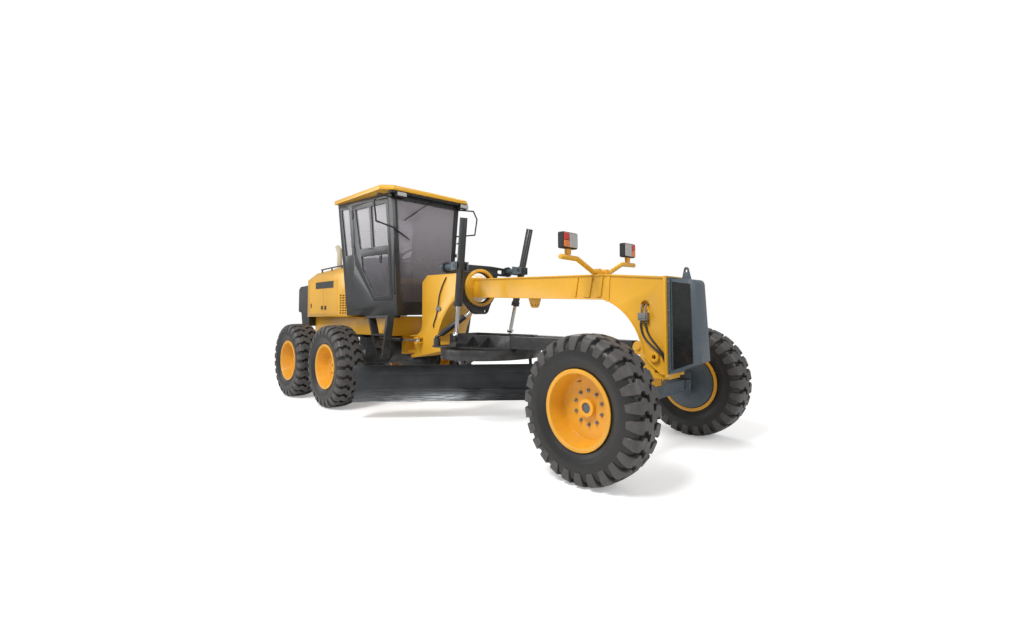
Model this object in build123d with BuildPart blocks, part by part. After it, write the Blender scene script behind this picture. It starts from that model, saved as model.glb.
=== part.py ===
"""Motor grader with an articulated frame, tandem rear wheels and a leaning front axle.

Millimetres, +X forward, +Y to the machine's left, +Z up. The origin lies on the ground
under the middle of the machine. Stations along X are measured forward from the middle of
the tandem wheels, and each named place adds its own distance to it.
"""
import os
from math import cos, radians, sin, tan

from build123d import *

os.makedirs("parts", exist_ok=True)

# ---------------------------------------------------------------- driving dimensions
wheelbase = 5780.0
bogie_spacing = 1538.0
track = 2052.0
rear_overhang = 2185.0
front_overhang = 615.0
tyre_radius = 634.0
tyre_width = 376.0
rim_radius = 345.0
rim_width = 330.0
rim_dish = 170.0
articulation_pin = 1560.0
circle_station = 3300.0
blade_turn = -47.4
blade_length = 3660.0
blade_bottom = 245.0
blade_top = 740.0
roof_top = 3374.0
seat_gap = 0.3
swing_gap = 6.0

# ---------------------------------------------------------------- places along the machine
overall_length = rear_overhang + wheelbase + front_overhang
tandem_x = rear_overhang - overall_length / 2
axle_x = tandem_x + wheelbase
hinge_x = tandem_x + articulation_pin
circle_x = tandem_x + circle_station
axle_z = tyre_radius
wheel_y = track / 2
tyre_inner_y = wheel_y - tyre_width / 2


# ---------------------------------------------------------------- drawing helpers
def side_view(y, x=0.0):
    """Plane across the machine at y, drawn as (forward from x, height); it faces -Y."""
    return Plane(origin=(x, y, 0), x_dir=(1, 0, 0), z_dir=(0, -1, 0))


def front_view(x, y=0.0, z=0.0):
    """Plane across the machine at x, drawn as (left of y, height over z); it faces +X."""
    return Plane(origin=(x, y, z), x_dir=(0, 1, 0), z_dir=(1, 0, 0))


def outline(plane, start, *moves):
    """Closed face; a move is an end point, or (a point on the arc, the arc's end point)."""
    with BuildSketch(plane) as face:
        with BuildLine():
            here = start
            for move in moves:
                if isinstance(move[0], tuple):
                    ThreePointArc(here, move[0], move[1])
                    here = move[1]
                else:
                    Line(here, move)
                    here = move
            if here != start:
                Line(here, start)
        make_face()
    return face.sketch


def block(low, high, mode=Mode.ADD):
    """Box between two opposite corners."""
    middle = (Vector(low) + Vector(high)) / 2
    size = Vector(high) - Vector(low)
    with Locations(middle):
        Box(size.X, size.Y, size.Z, mode=mode)


def bar(start, end, radius, mode=Mode.ADD):
    """Round bar from one point to another."""
    run = Vector(end) - Vector(start)
    with Locations(Plane(origin=start, z_dir=run).location):
        Cylinder(radius, run.length, align=(Align.CENTER, Align.CENTER, Align.MIN), mode=mode)


def between(start, end, distance):
    """Point at a distance from start on the line to end."""
    return Vector(start) + (Vector(end) - Vector(start)).normalized() * distance


def keep(piece, name):
    """Label a finished piece and write its file."""
    piece.label = name
    export_step(piece, f"parts/{name}.step")


# ================================================================ wheels
# A wide low-pressure tyre on a deep-dished rim. The disc stands at the wheel's middle,
# and a hub drum reaches inwards from it to the seat that carries the wheel.
tread_half = 165.0
shoulder_drop = 46.0
bead_half = 150.0
rim_wall = 22.0
disc_thick = 20.0
hub_radius = 150.0
hub_bore = 45.0
cap_radius = 78.0
stud_circle = 145.0
stud_radius = 15.0
stud_count = 10
tandem_face_y = 806.0

wheel_stations = {
    "front": axle_x,
    "middle": tandem_x + bogie_spacing / 2,
    "rear": tandem_x - bogie_spacing / 2,
}


def wheel_plane(x, side):
    """Plane through the wheel's axis, drawn as (outwards from the middle, radius)."""
    return Plane(origin=(x, side * wheel_y, axle_z), x_dir=(0, side, 0), z_dir=(side, 0, 0))


for place, x in wheel_stations.items():
    for name, side in (("left", 1), ("right", -1)):
        plane = wheel_plane(x, side)
        spin = Axis((x, side * wheel_y, axle_z), (0, side, 0))
        with BuildPart() as tyre:
            half = tyre_width / 2
            section = outline(
                plane,
                (-bead_half, rim_radius - 15),
                (-bead_half, rim_radius + seat_gap),
                (-half, rim_radius + 110),
                (-half, tyre_radius - 130),
                (-tread_half, tyre_radius - 12),
                (-tread_half + shoulder_drop, tyre_radius),
                (tread_half - shoulder_drop, tyre_radius),
                (tread_half, tyre_radius - 12),
                (half, tyre_radius - 130),
                (half, rim_radius + 110),
                (bead_half, rim_radius + seat_gap),
                (bead_half, rim_radius - 15),
            )
            revolve(section, axis=spin)
        keep(tyre.part, f"tyre_{place}_{name}")
        hub_inner = tandem_face_y - wheel_y if place != "front" else -rim_width / 2 + 10
        with BuildPart() as rim:
            disc_out = rim_width / 2 - rim_dish
            edge = rim_width / 2
            floor = rim_radius - 15 - seat_gap
            section = outline(
                plane,
                (hub_inner, hub_bore),
                (hub_inner, hub_radius),
                (disc_out - disc_thick, hub_radius),
                (disc_out - disc_thick, floor - rim_wall),
                (-edge, floor - rim_wall),
                (-edge, rim_radius),
                (-bead_half - seat_gap, rim_radius),
                (-bead_half - seat_gap, floor),
                (bead_half + seat_gap, floor),
                (bead_half + seat_gap, rim_radius),
                (edge, rim_radius),
                (edge, floor - rim_wall),
                (disc_out, floor - rim_wall - 30),
                (disc_out, cap_radius),
                (disc_out + 45, cap_radius),
                (disc_out + 45, hub_bore),
            )
            revolve(section, axis=spin)
        keep(rim.part, f"rim_{place}_{name}")


# ================================================================ rear frame and drive
# Two box rails carry the engine and the cab. A cross member joins their front ends and
# holds the two hinge plates that take the articulation pin.
rail_outer = 420.0
rail_wide = 100.0
rail_low = 1085.0
rail_high = 1385.0
rail_rear = tandem_x - 1579.0
rail_front = tandem_x + 1400.0
cross_depth = 110.0
pin_radius = 45.0
pin_gap = 0.3
hinge_plate = 50.0
hinge_nose = 85.0
hinge_root = 170.0
upper_plate_z = 995.0
lower_plate_z = 800.0
cross_high = 170.0
frame_low = 750.0
ram_plate = 20.0
ram_gap = 2.0
ram_z = 1035.0
ram_eye_half = 25.0
ram_pin = 18.0
ram_rear = (tandem_x + 900.0, 375.0)
ram_front = (tandem_x + 1960.0, 310.0)

with BuildPart() as rear_frame:
    for side in (-1, 1):
        outer = side * rail_outer
        inner = side * (rail_outer - rail_wide)
        block((rail_rear, min(inner, outer), rail_low), (rail_front, max(inner, outer), rail_high))
    for x in (rail_rear, tandem_x - 560.0, rail_front - cross_depth):
        block((x, -rail_outer, rail_low), (x + cross_depth, rail_outer, rail_low + cross_high))
    block((rail_front - cross_depth, -rail_outer, rail_low), (rail_front, rail_outer, rail_high))
    block(
        (rail_front - cross_depth, -hinge_root - 20, lower_plate_z - 10),
        (rail_front, hinge_root + 20, rail_low),
    )
    for side in (-1, 1):
        x, y = ram_rear
        for low in (ram_z - ram_eye_half - ram_gap - ram_plate, ram_z + ram_eye_half + ram_gap):
            block((x - 55, side * y - 45, low), (x + 36, side * y + 45, low + ram_plate))
        block((x - 75, side * y - 45, ram_z - ram_eye_half - ram_gap - ram_plate), (x - 55, side * y + 45, rail_low))
        bar((x, side * y, ram_z - 50), (x, side * y, rail_low), ram_pin)
    for z in (upper_plate_z, lower_plate_z):
        tongue = outline(
            Plane.XY.offset(z),
            (rail_front - cross_depth, -hinge_root),
            (hinge_x, -hinge_nose),
            ((hinge_x + hinge_nose, 0), (hinge_x, hinge_nose)),
            (rail_front - cross_depth, hinge_root),
        )
        extrude(tongue, amount=hinge_plate)
    for z in (upper_plate_z, lower_plate_z):
        with Locations((hinge_x, 0, z)):
            Cylinder(
                pin_radius + pin_gap,
                hinge_plate,
                align=(Align.CENTER, Align.CENTER, Align.MIN),
                mode=Mode.SUBTRACT,
            )
keep(rear_frame.part, "rear_frame")

# The axle housing, the two tandem cases and the gearbox in front of them are one casting
# group, carried between the rails.
case_inner = 690.0
case_outer = tandem_face_y - 26.0
case_half_high = 205.0
tube_radius = 120.0

with BuildPart() as rear_axle:
    case = outline(
        side_view(-case_inner, tandem_x),
        (-bogie_spacing / 2, axle_z - case_half_high),
        (bogie_spacing / 2, axle_z - case_half_high),
        ((bogie_spacing / 2 + case_half_high, axle_z), (bogie_spacing / 2, axle_z + case_half_high)),
        (-bogie_spacing / 2, axle_z + case_half_high),
        ((-bogie_spacing / 2 - case_half_high, axle_z), (-bogie_spacing / 2, axle_z - case_half_high)),
    )
    extrude(case, amount=case_outer - case_inner)
    for x in (wheel_stations["middle"], wheel_stations["rear"]):
        bar((x, -case_outer, axle_z), (x, -tandem_face_y + seat_gap, axle_z), hub_radius - 20)
    mirror(about=Plane.XZ)
    bar((tandem_x, -case_inner, axle_z), (tandem_x, case_inner, axle_z), tube_radius)
    with Locations((tandem_x, 0, axle_z)):
        Sphere(260)
    block((tandem_x - 150, -200, axle_z), (tandem_x + 150, 200, rail_low - 60))
    block(
        (tandem_x - 230, -rail_outer + rail_wide - 1, rail_low - 60),
        (tandem_x + 230, rail_outer - rail_wide + 1, rail_low - seat_gap),
    )
    gearbox = outline(
        side_view(0, tandem_x),
        (150, 560),
        (900, 620),
        (1120, 760),
        (1120, 1000),
        (900, rail_low - 40),
        (150, rail_low - 40),
    )
    extrude(gearbox, amount=230, both=True)
keep(rear_axle.part, "rear_axle")

with BuildPart() as engine_block:
    engine_low = rail_low + cross_high + seat_gap
    block((rail_rear + 60, -290, engine_low), (tandem_x - 300, 290, engine_low + 760))
keep(engine_block.part, "engine_block")

# ================================================================ engine hood
# A sheet hood, open below, with a faceted crown that rises towards the cab, a louvred
# grille beside the cab and a black guard over the radiator behind.
hood_half = 572.0
hood_low = rail_high + seat_gap
hood_rear = rail_rear
hood_front = tandem_x + 150.0
hood_sheet = 24.0
hood_shoulder_front = 2176.0
hood_shoulder_rear = 2098.0
crown_half = 400.0
crown_rise = 150.0
grille_x = tandem_x - 166.0
grille_low = 1441.0
grille_columns = 3
grille_rows = 8
grille_pitch = (98.0, 44.0)
grille_slot = (74.0, 26.0)


def hood_section(x, shoulder, inset):
    """Hood outline across the machine, drawn in by a wall's thickness."""
    edge = hood_half - inset
    top = shoulder + crown_rise - inset
    return outline(
        front_view(x),
        (-edge, hood_low),
        (edge, hood_low),
        (edge, shoulder - inset / 2),
        (crown_half - inset / 2, top),
        (-crown_half + inset / 2, top),
        (-edge, shoulder - inset / 2),
    )


with BuildPart() as engine_hood:
    with BuildPart(mode=Mode.PRIVATE) as hood_outside:
        loft([hood_section(hood_rear, hood_shoulder_rear, 0), hood_section(hood_front, hood_shoulder_front, 0)])
    with BuildPart(mode=Mode.PRIVATE) as hood_inside:
        loft(
            [
                hood_section(hood_rear + hood_sheet, hood_shoulder_rear, hood_sheet),
                hood_section(hood_front - hood_sheet, hood_shoulder_front, hood_sheet),
            ]
        )
    add(hood_outside.part)
    add(hood_inside.part, mode=Mode.SUBTRACT)
    slot_wide, slot_high = grille_slot
    for column in range(grille_columns):
        for row in range(grille_rows):
            x = grille_x + column * grille_pitch[0] + 12
            z = grille_low + row * grille_pitch[1]
            block(
                (x, -hood_half - 1, z),
                (x + slot_wide, hood_half + 1, z + slot_high),
                mode=Mode.SUBTRACT,
            )
keep(engine_hood.part, "engine_hood")

guard_half = 540.0
guard_rear = tandem_x - rear_overhang
with BuildPart() as radiator_guard:
    guard = outline(
        side_view(0, hood_rear - seat_gap),
        (0, 1200),
        (guard_rear - hood_rear + 260, 1200),
        (guard_rear - hood_rear + 200, 1462),
        (guard_rear - hood_rear + seat_gap, 1500),
        (guard_rear - hood_rear + seat_gap, 1900),
        (guard_rear - hood_rear + 150, 1993),
        (0, 2010),
    )
    extrude(guard, amount=guard_half, both=True)
    corners = radiator_guard.edges().filter_by(Axis.Z).group_by(Axis.X)[0]
    chamfer(corners, 60)
keep(radiator_guard.part, "radiator_guard")

stack_x = tandem_x - 800.0
stack_y = -300.0
stack_radius = 45.0
with BuildPart() as exhaust_stack:
    lerp = (stack_x - hood_rear) / (hood_front - hood_rear)
    deck = hood_shoulder_rear + crown_rise + lerp * (hood_shoulder_front - hood_shoulder_rear)
    with Locations((stack_x, stack_y, deck + seat_gap + 3.6)):
        Cylinder(stack_radius + 35, 16, align=(Align.CENTER, Align.CENTER, Align.MIN))
        Cylinder(stack_radius, 400, align=(Align.CENTER, Align.CENTER, Align.MIN))
    bar((stack_x, stack_y, deck + 330), (stack_x - 90, stack_y, deck + 450), stack_radius)
keep(exhaust_stack.part, "exhaust_stack")

# ================================================================ cab
# Six flat walls lean outwards to the roof and the plan narrows to the windscreen. Every
# wall is one tilted plane, and every pane and door is cut square across its wall.
cab_wall = 45.0
cab_low = 1414.0
cab_sill = 1600.0
roof_thick = 74.0
cab_high = roof_top - roof_thick
cab_half = 760.0
cab_rear_top = tandem_x + 180.0
cab_rear_low = tandem_x + 257.0
cab_front_top = tandem_x + 1715.0
cab_front_low = tandem_x + 1678.0
side_taper = -0.0912
side_lean = 0.0706
glass_thick = 8.0
glass_gap = 0.5
door_gap = 6.0


def cab_side_y(x, z, inset=0.0):
    """Half width of the cab at a place on its side wall."""
    return cab_half + side_taper * (x - cab_rear_top) + side_lean * (z - cab_high) - inset


def cab_front_x(z):
    """Front of the cab at a height."""
    return cab_front_low + (cab_front_top - cab_front_low) * (z - cab_low) / (cab_high - cab_low)


def cab_rear_x(z):
    """Back of the cab at a height."""
    return cab_rear_low + (cab_rear_top - cab_rear_low) * (z - cab_low) / (cab_high - cab_low)


def cab_block(inset, low, high):
    """Solid of the cab between two heights, drawn in by a wall's thickness."""
    ends = []
    for z in (low, high):
        rear = cab_rear_x(z) + inset
        front = cab_front_x(z) - inset
        corners = [(rear, cab_side_y(rear, z, inset)), (front, cab_side_y(front, z, inset))]
        mirrored = [(x, -y) for x, y in reversed(corners)]
        with BuildSketch(Plane.XY.offset(z)) as level:
            with BuildLine():
                Polyline(*corners, *mirrored, close=True)
            make_face()
        ends.append(level.sketch)
    with BuildPart() as solid:
        loft(ends, ruled=True)
    return solid.part


door_shape = [(600, 3230), (1610, 3230), (1590, 1650), (1060, 1650), (600, 2250)]
door_panes = [
    [(690, 3150), (1080, 3150), (1080, 2500), (760, 2500)],
    [(1140, 3150), (1540, 3150), (1540, 2500), (1140, 2500)],
    [(790, 2370), (1520, 2370), (1500, 1720), (1120, 1720), (800, 2170)],
]
rear_pane = [(270, 3200), (500, 3200), (520, 2420), (330, 2420)]
back_pane_low = 2420.0

shell = cab_block(0, cab_low, cab_high) - cab_block(cab_wall, cab_low + 60, cab_high + 1)

with BuildSketch(side_view(-300, tandem_x)) as door_hole:
    with BuildLine():
        Polyline(*door_shape, close=True)
    make_face()
with BuildSketch(side_view(-300, tandem_x)) as door_face:
    with BuildLine():
        Polyline(*door_shape, close=True)
    make_face()
    offset(amount=-door_gap, kind=Kind.INTERSECTION, mode=Mode.REPLACE)

windscreen = [
    (-cab_side_y(cab_front_x(cab_sill), cab_sill) + 75, cab_sill + 20),
    (cab_side_y(cab_front_x(cab_sill), cab_sill) - 75, cab_sill + 20),
    (cab_side_y(cab_front_top, cab_high) - 85, cab_high - 100),
    (-cab_side_y(cab_front_top, cab_high) + 85, cab_high - 100),
]
backlight = [
    (-cab_side_y(cab_rear_x(back_pane_low), back_pane_low) + 90, back_pane_low),
    (cab_side_y(cab_rear_x(back_pane_low), back_pane_low) - 90, back_pane_low),
    (cab_side_y(cab_rear_top, cab_high) - 100, cab_high - 100),
    (-cab_side_y(cab_rear_top, cab_high) + 100, cab_high - 100),
]

# Each door hangs on two hinges at its rear edge, whose pins lie in the leaning side wall.
door_hinge_x = tandem_x + 603.0
door_hinge_heights = (2500.0, 3080.0)
knuckle_radius = 15.0
hinge_pin = 8.0
hinge_cheek = 30.0
knuckle_half = 40.0


def hinge_point(z, side):
    """Point on a door's hinge axis at a height."""
    return (door_hinge_x, side * cab_side_y(door_hinge_x, z), z)


def hinge_bar(z, low, high, radius, side, mode=Mode.ADD):
    """Round bar on a door's hinge axis between two distances from a height."""
    bar(hinge_point(z + low, side), hinge_point(z + high, side), radius, mode=mode)


with BuildPart() as cab_shell:
    add(shell)
    extrude(door_hole.sketch, amount=600, mode=Mode.SUBTRACT)
    extrude(door_hole.sketch, amount=1500, dir=(0, 1, 0), mode=Mode.SUBTRACT)
    pane = outline(side_view(-300, tandem_x), *rear_pane)
    extrude(pane, amount=600, mode=Mode.SUBTRACT)
    extrude(pane, amount=1500, dir=(0, 1, 0), mode=Mode.SUBTRACT)
    extrude(outline(front_view(cab_front_low - 200), *windscreen), amount=400, mode=Mode.SUBTRACT)
    extrude(outline(front_view(cab_rear_top - 100), *backlight), amount=300, mode=Mode.SUBTRACT)
    outer = knuckle_half + hinge_cheek
    for side in (-1, 1):
        for z in door_hinge_heights:
            hinge_bar(z, -knuckle_half - 1, knuckle_half + 1, knuckle_radius + 2, side, mode=Mode.SUBTRACT)
            for low in (-outer, knuckle_half + 1):
                hinge_bar(z, low, low + hinge_cheek - 1, knuckle_radius, side)
            hinge_bar(z, -outer, outer, hinge_pin, side)
keep(cab_shell.part, "cab_shell")

# The doors hang at their rear edges on the outside of the side walls.
door_low = min(z for x, z in door_shape)
door_high = max(z for x, z in door_shape)


def wall_piece(profile, inset_out, inset_in):
    """Part of the cab's tilted wall inside a straight outline, between two depths."""
    wall = cab_block(inset_out, cab_low, cab_high) - cab_block(inset_in, cab_low - 1, cab_high + 1)
    with BuildPart() as prism:
        extrude(profile, amount=600)
    return wall & prism.part


door_solid = wall_piece(door_face.sketch, 0, cab_wall)
pane_depth = cab_wall / 2 - glass_thick / 2
panes_solid = []
for pane in door_panes:
    profile = outline(side_view(-300, tandem_x), *pane)
    door_solid = door_solid - Part(extrude(profile, amount=600, mode=Mode.PRIVATE).wrapped)
    with BuildSketch(side_view(-300, tandem_x)) as lite:
        with BuildLine():
            Polyline(*pane, close=True)
        make_face()
        offset(amount=-glass_gap, kind=Kind.INTERSECTION, mode=Mode.REPLACE)
    panes_solid.append(wall_piece(lite.sketch, pane_depth, pane_depth + glass_thick))

for name, side in (("right", -1), ("left", 1)):
    with BuildPart() as cab_door:
        add(door_solid)
        for z in door_hinge_heights:
            hinge_bar(z, -outer - 1, outer + 1, knuckle_radius + 2, -1, mode=Mode.SUBTRACT)
            hinge_bar(z, -knuckle_half, knuckle_half, knuckle_radius, -1)
            low = (door_hinge_x + 8, -cab_side_y(door_hinge_x, z) - 6, z - knuckle_half + 5)
            block(low, (door_hinge_x + 30, -cab_side_y(door_hinge_x, z) + 12, z + knuckle_half - 5))
            hinge_bar(z, -outer, outer, hinge_pin + pin_gap, -1, mode=Mode.SUBTRACT)
        if side > 0:
            mirror(about=Plane.XZ, mode=Mode.REPLACE)
    keep(cab_door.part, f"cab_door_{name}")
    with BuildPart() as door_glass:
        add(panes_solid)
        if side > 0:
            mirror(about=Plane.XZ, mode=Mode.REPLACE)
    keep(door_glass.part, f"door_glass_{name}")

with BuildSketch(front_view(cab_front_low - 200)) as screen:
    with BuildLine():
        Polyline(*windscreen, close=True)
    make_face()
    offset(amount=-glass_gap, kind=Kind.INTERSECTION, mode=Mode.REPLACE)
with BuildSketch(front_view(cab_rear_top - 100)) as back_light:
    with BuildLine():
        Polyline(*backlight, close=True)
    make_face()
    offset(amount=-glass_gap, kind=Kind.INTERSECTION, mode=Mode.REPLACE)
with BuildSketch(side_view(-300, tandem_x)) as quarter:
    with BuildLine():
        Polyline(*rear_pane, close=True)
    make_face()
    offset(amount=-glass_gap, kind=Kind.INTERSECTION, mode=Mode.REPLACE)
glass_skin = cab_block(pane_depth, cab_low, cab_high)
glass_skin = glass_skin - cab_block(pane_depth + glass_thick, cab_low - 1, cab_high + 1)
with BuildPart() as cab_glass:
    with BuildPart(mode=Mode.PRIVATE) as front_prism:
        extrude(screen.sketch, amount=400)
    with BuildPart(mode=Mode.PRIVATE) as back_prism:
        extrude(back_light.sketch, amount=300)
    with BuildPart(mode=Mode.PRIVATE) as quarter_prism:
        extrude(quarter.sketch, amount=600)
        mirror(about=Plane.XZ)
    add(glass_skin & (front_prism.part + back_prism.part + quarter_prism.part))
keep(cab_glass.part, "cab_glass")

roof_half = 818.0
roof_rear = tandem_x + 183.0 - 20
roof_front = tandem_x + 1849.0
roof_edge = 48.0
roof_corner = 150.0
with BuildPart() as cab_roof:
    with BuildSketch(Plane.XY.offset(cab_high + seat_gap)) as roof_plan:
        with BuildLine():
            Polyline(
                (roof_rear, -roof_half),
                (roof_front - roof_corner, -roof_half),
                (roof_front, -roof_half + roof_corner),
                (roof_front, roof_half - roof_corner),
                (roof_front - roof_corner, roof_half),
                (roof_rear, roof_half),
                close=True,
            )
        make_face()
    extrude(amount=roof_thick - seat_gap)
    chamfer(cab_roof.faces().sort_by(Axis.Z)[-1].edges(), 22)
keep(cab_roof.part, "cab_roof")

floor_z = cab_low + 60
seat_x = tandem_x + 620.0
with BuildPart() as driver_seat:
    block((seat_x, -150, floor_z + seat_gap), (seat_x + 400, 150, floor_z + 330))
    block((seat_x - 30, -250, floor_z + 330), (seat_x + 470, 250, floor_z + 460))
    back = outline(
        side_view(250, seat_x),
        (-30, floor_z + 460),
        (110, floor_z + 460),
        (10, floor_z + 1120),
        (-110, floor_z + 1120),
    )
    extrude(back, amount=500)
keep(driver_seat.part, "driver_seat")

column_x = tandem_x + 1420.0
with BuildPart() as steering_console:
    console = outline(
        side_view(170, column_x),
        (-120, floor_z + seat_gap),
        (150, floor_z + seat_gap),
        (150, floor_z + 640),
        (-40, floor_z + 760),
        (-120, floor_z + 740),
    )
    extrude(console, amount=340)
    column_top = (column_x - 150, 0, floor_z + 900)
    bar((column_x - 20, 0, floor_z + 720), column_top, 32)
    wheel_rim = Plane(origin=column_top, z_dir=(-130, 0, 180))
    with Locations(wheel_rim.location):
        Torus(205, 16)
        Cylinder(30, 40)
    for turn in (0, 120, 240):
        with Locations(wheel_rim.location * Location((0, 0, 0), (0, 0, turn))):
            Box(205, 26, 14, align=(Align.MIN, Align.CENTER, Align.CENTER))
keep(steering_console.part, "steering_console")

ladder_low = 777.0
ladder_foot = (1540.0, 1732.0)
ladder_head = (1265.0, 1880.0)
ladder_leg = 44.0
ladder_tread = 30.0
ladder_y = 650.0
ladder_deep = 110.0
tread_heights = (930.0, 1110.0)
landing = 40.0


def ladder_edge(end, z):
    """Station of the ladder's rear (0) or front (1) edge at a height."""
    run = (z - ladder_low) / (cab_low - ladder_low)
    return tandem_x + ladder_foot[end] + (ladder_head[end] - ladder_foot[end]) * run


def ladder_window(low, high):
    """Four corners of the gap between two treads."""
    rear, front = (0, ladder_leg), (1, -ladder_leg)
    return [(ladder_edge(end, z) + leg, z) for (end, leg), z in ((rear, low), (front, low), (front, high), (rear, high))]


with BuildPart() as cab_ladders:
    head = cab_low - seat_gap
    frame = [(0, ladder_low), (1, ladder_low), (1, head), (0, head)]
    corners = [(ladder_edge(end, z), z) for end, z in frame]
    extrude(outline(side_view(-ladder_y), *corners), amount=ladder_deep)
    floors = (ladder_low, *tread_heights, cab_low - landing)
    for low, high in zip(floors, floors[1:]):
        window = outline(side_view(-ladder_y), *ladder_window(low + ladder_tread, high))
        extrude(window, amount=ladder_deep, mode=Mode.SUBTRACT)
    block(
        (tandem_x + 1210, -ladder_y - ladder_deep, cab_low - landing),
        (tandem_x + 1640, -rail_outer - seat_gap, cab_low - seat_gap),
    )
    mirror(about=Plane.XZ)
keep(cab_ladders.part, "cab_ladders")

mirror_tube = 12.0
mirror_top = cab_high - 100.0
mirror_low = cab_high - 560.0
with BuildPart() as cab_mirrors:
    y = cab_side_y(cab_front_top, mirror_top)
    x = cab_front_top + 12
    arm = [(x, y - 40, mirror_top), (x + 60, y + 260, mirror_top + 15), (x + 70, y + 330, mirror_top - 120)]
    arm += [(x + 60, y + 290, mirror_low + 60), (x, y - 60, mirror_low)]
    for start, end in zip(arm, arm[1:]):
        bar(start, end, mirror_tube)
        with Locations(end):
            Sphere(mirror_tube)
    mirror(about=Plane.XZ)
keep(cab_mirrors.part, "cab_mirrors")

# ================================================================ front frame
# The frame starts at the articulation pin with two lugs, rises as a pair of wide side
# plates in front of the cab, narrows to a box beam and ends in a gooseneck over the axle.
plate_half = 250.0
beam_half = 140.0
lug_half = 175.0
tongue_room = 100.0
lug_low_top = lower_plate_z - seat_gap
lug_high_low = upper_plate_z + hinge_plate + seat_gap
flange_z = 1100.0
ring_x = tandem_x + 3064.0
ring_z = 1800.0
ring_outer = 265.0
ring_inner = 222.0
ring_thick = 34.0
nose_x = tandem_x + 6072.0
nose_low = 835.0
beam_points = {"rear": (1925.0, 1668.0), "lamp": (1859.0, 1582.0), "nose": 1793.0}
lamp_x = tandem_x + 5173.0
web_deep = 14.0
flange = 16.0
boss_x = tandem_x + 5921.0
boss_z = 1002.0
boss_half = 160.0
boss_radius = 50.0
boss_bore = 23.0
pipe_hole = (tandem_x + 5813.0, 1515.0)
pipe_hole_radius = 50.0
tie_down_holes = (tandem_x + 4105.0, tandem_x + 4170.0)
neck_half = 195.0
hanger_half = 110.0
hanger_low = 687.0
pivot_radius = 55.0
beam_z = 616.0
beam_deep = 65.0
beam_high = 65.0
drawbar_pin = (tandem_x + 5700.0, 0.0, 1080.0)
ball_cheek = 56.0
ball_pin = 24.0


def from_hinge(station):
    """Distance forward of the articulation pin for a station."""
    return station - articulation_pin


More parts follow.
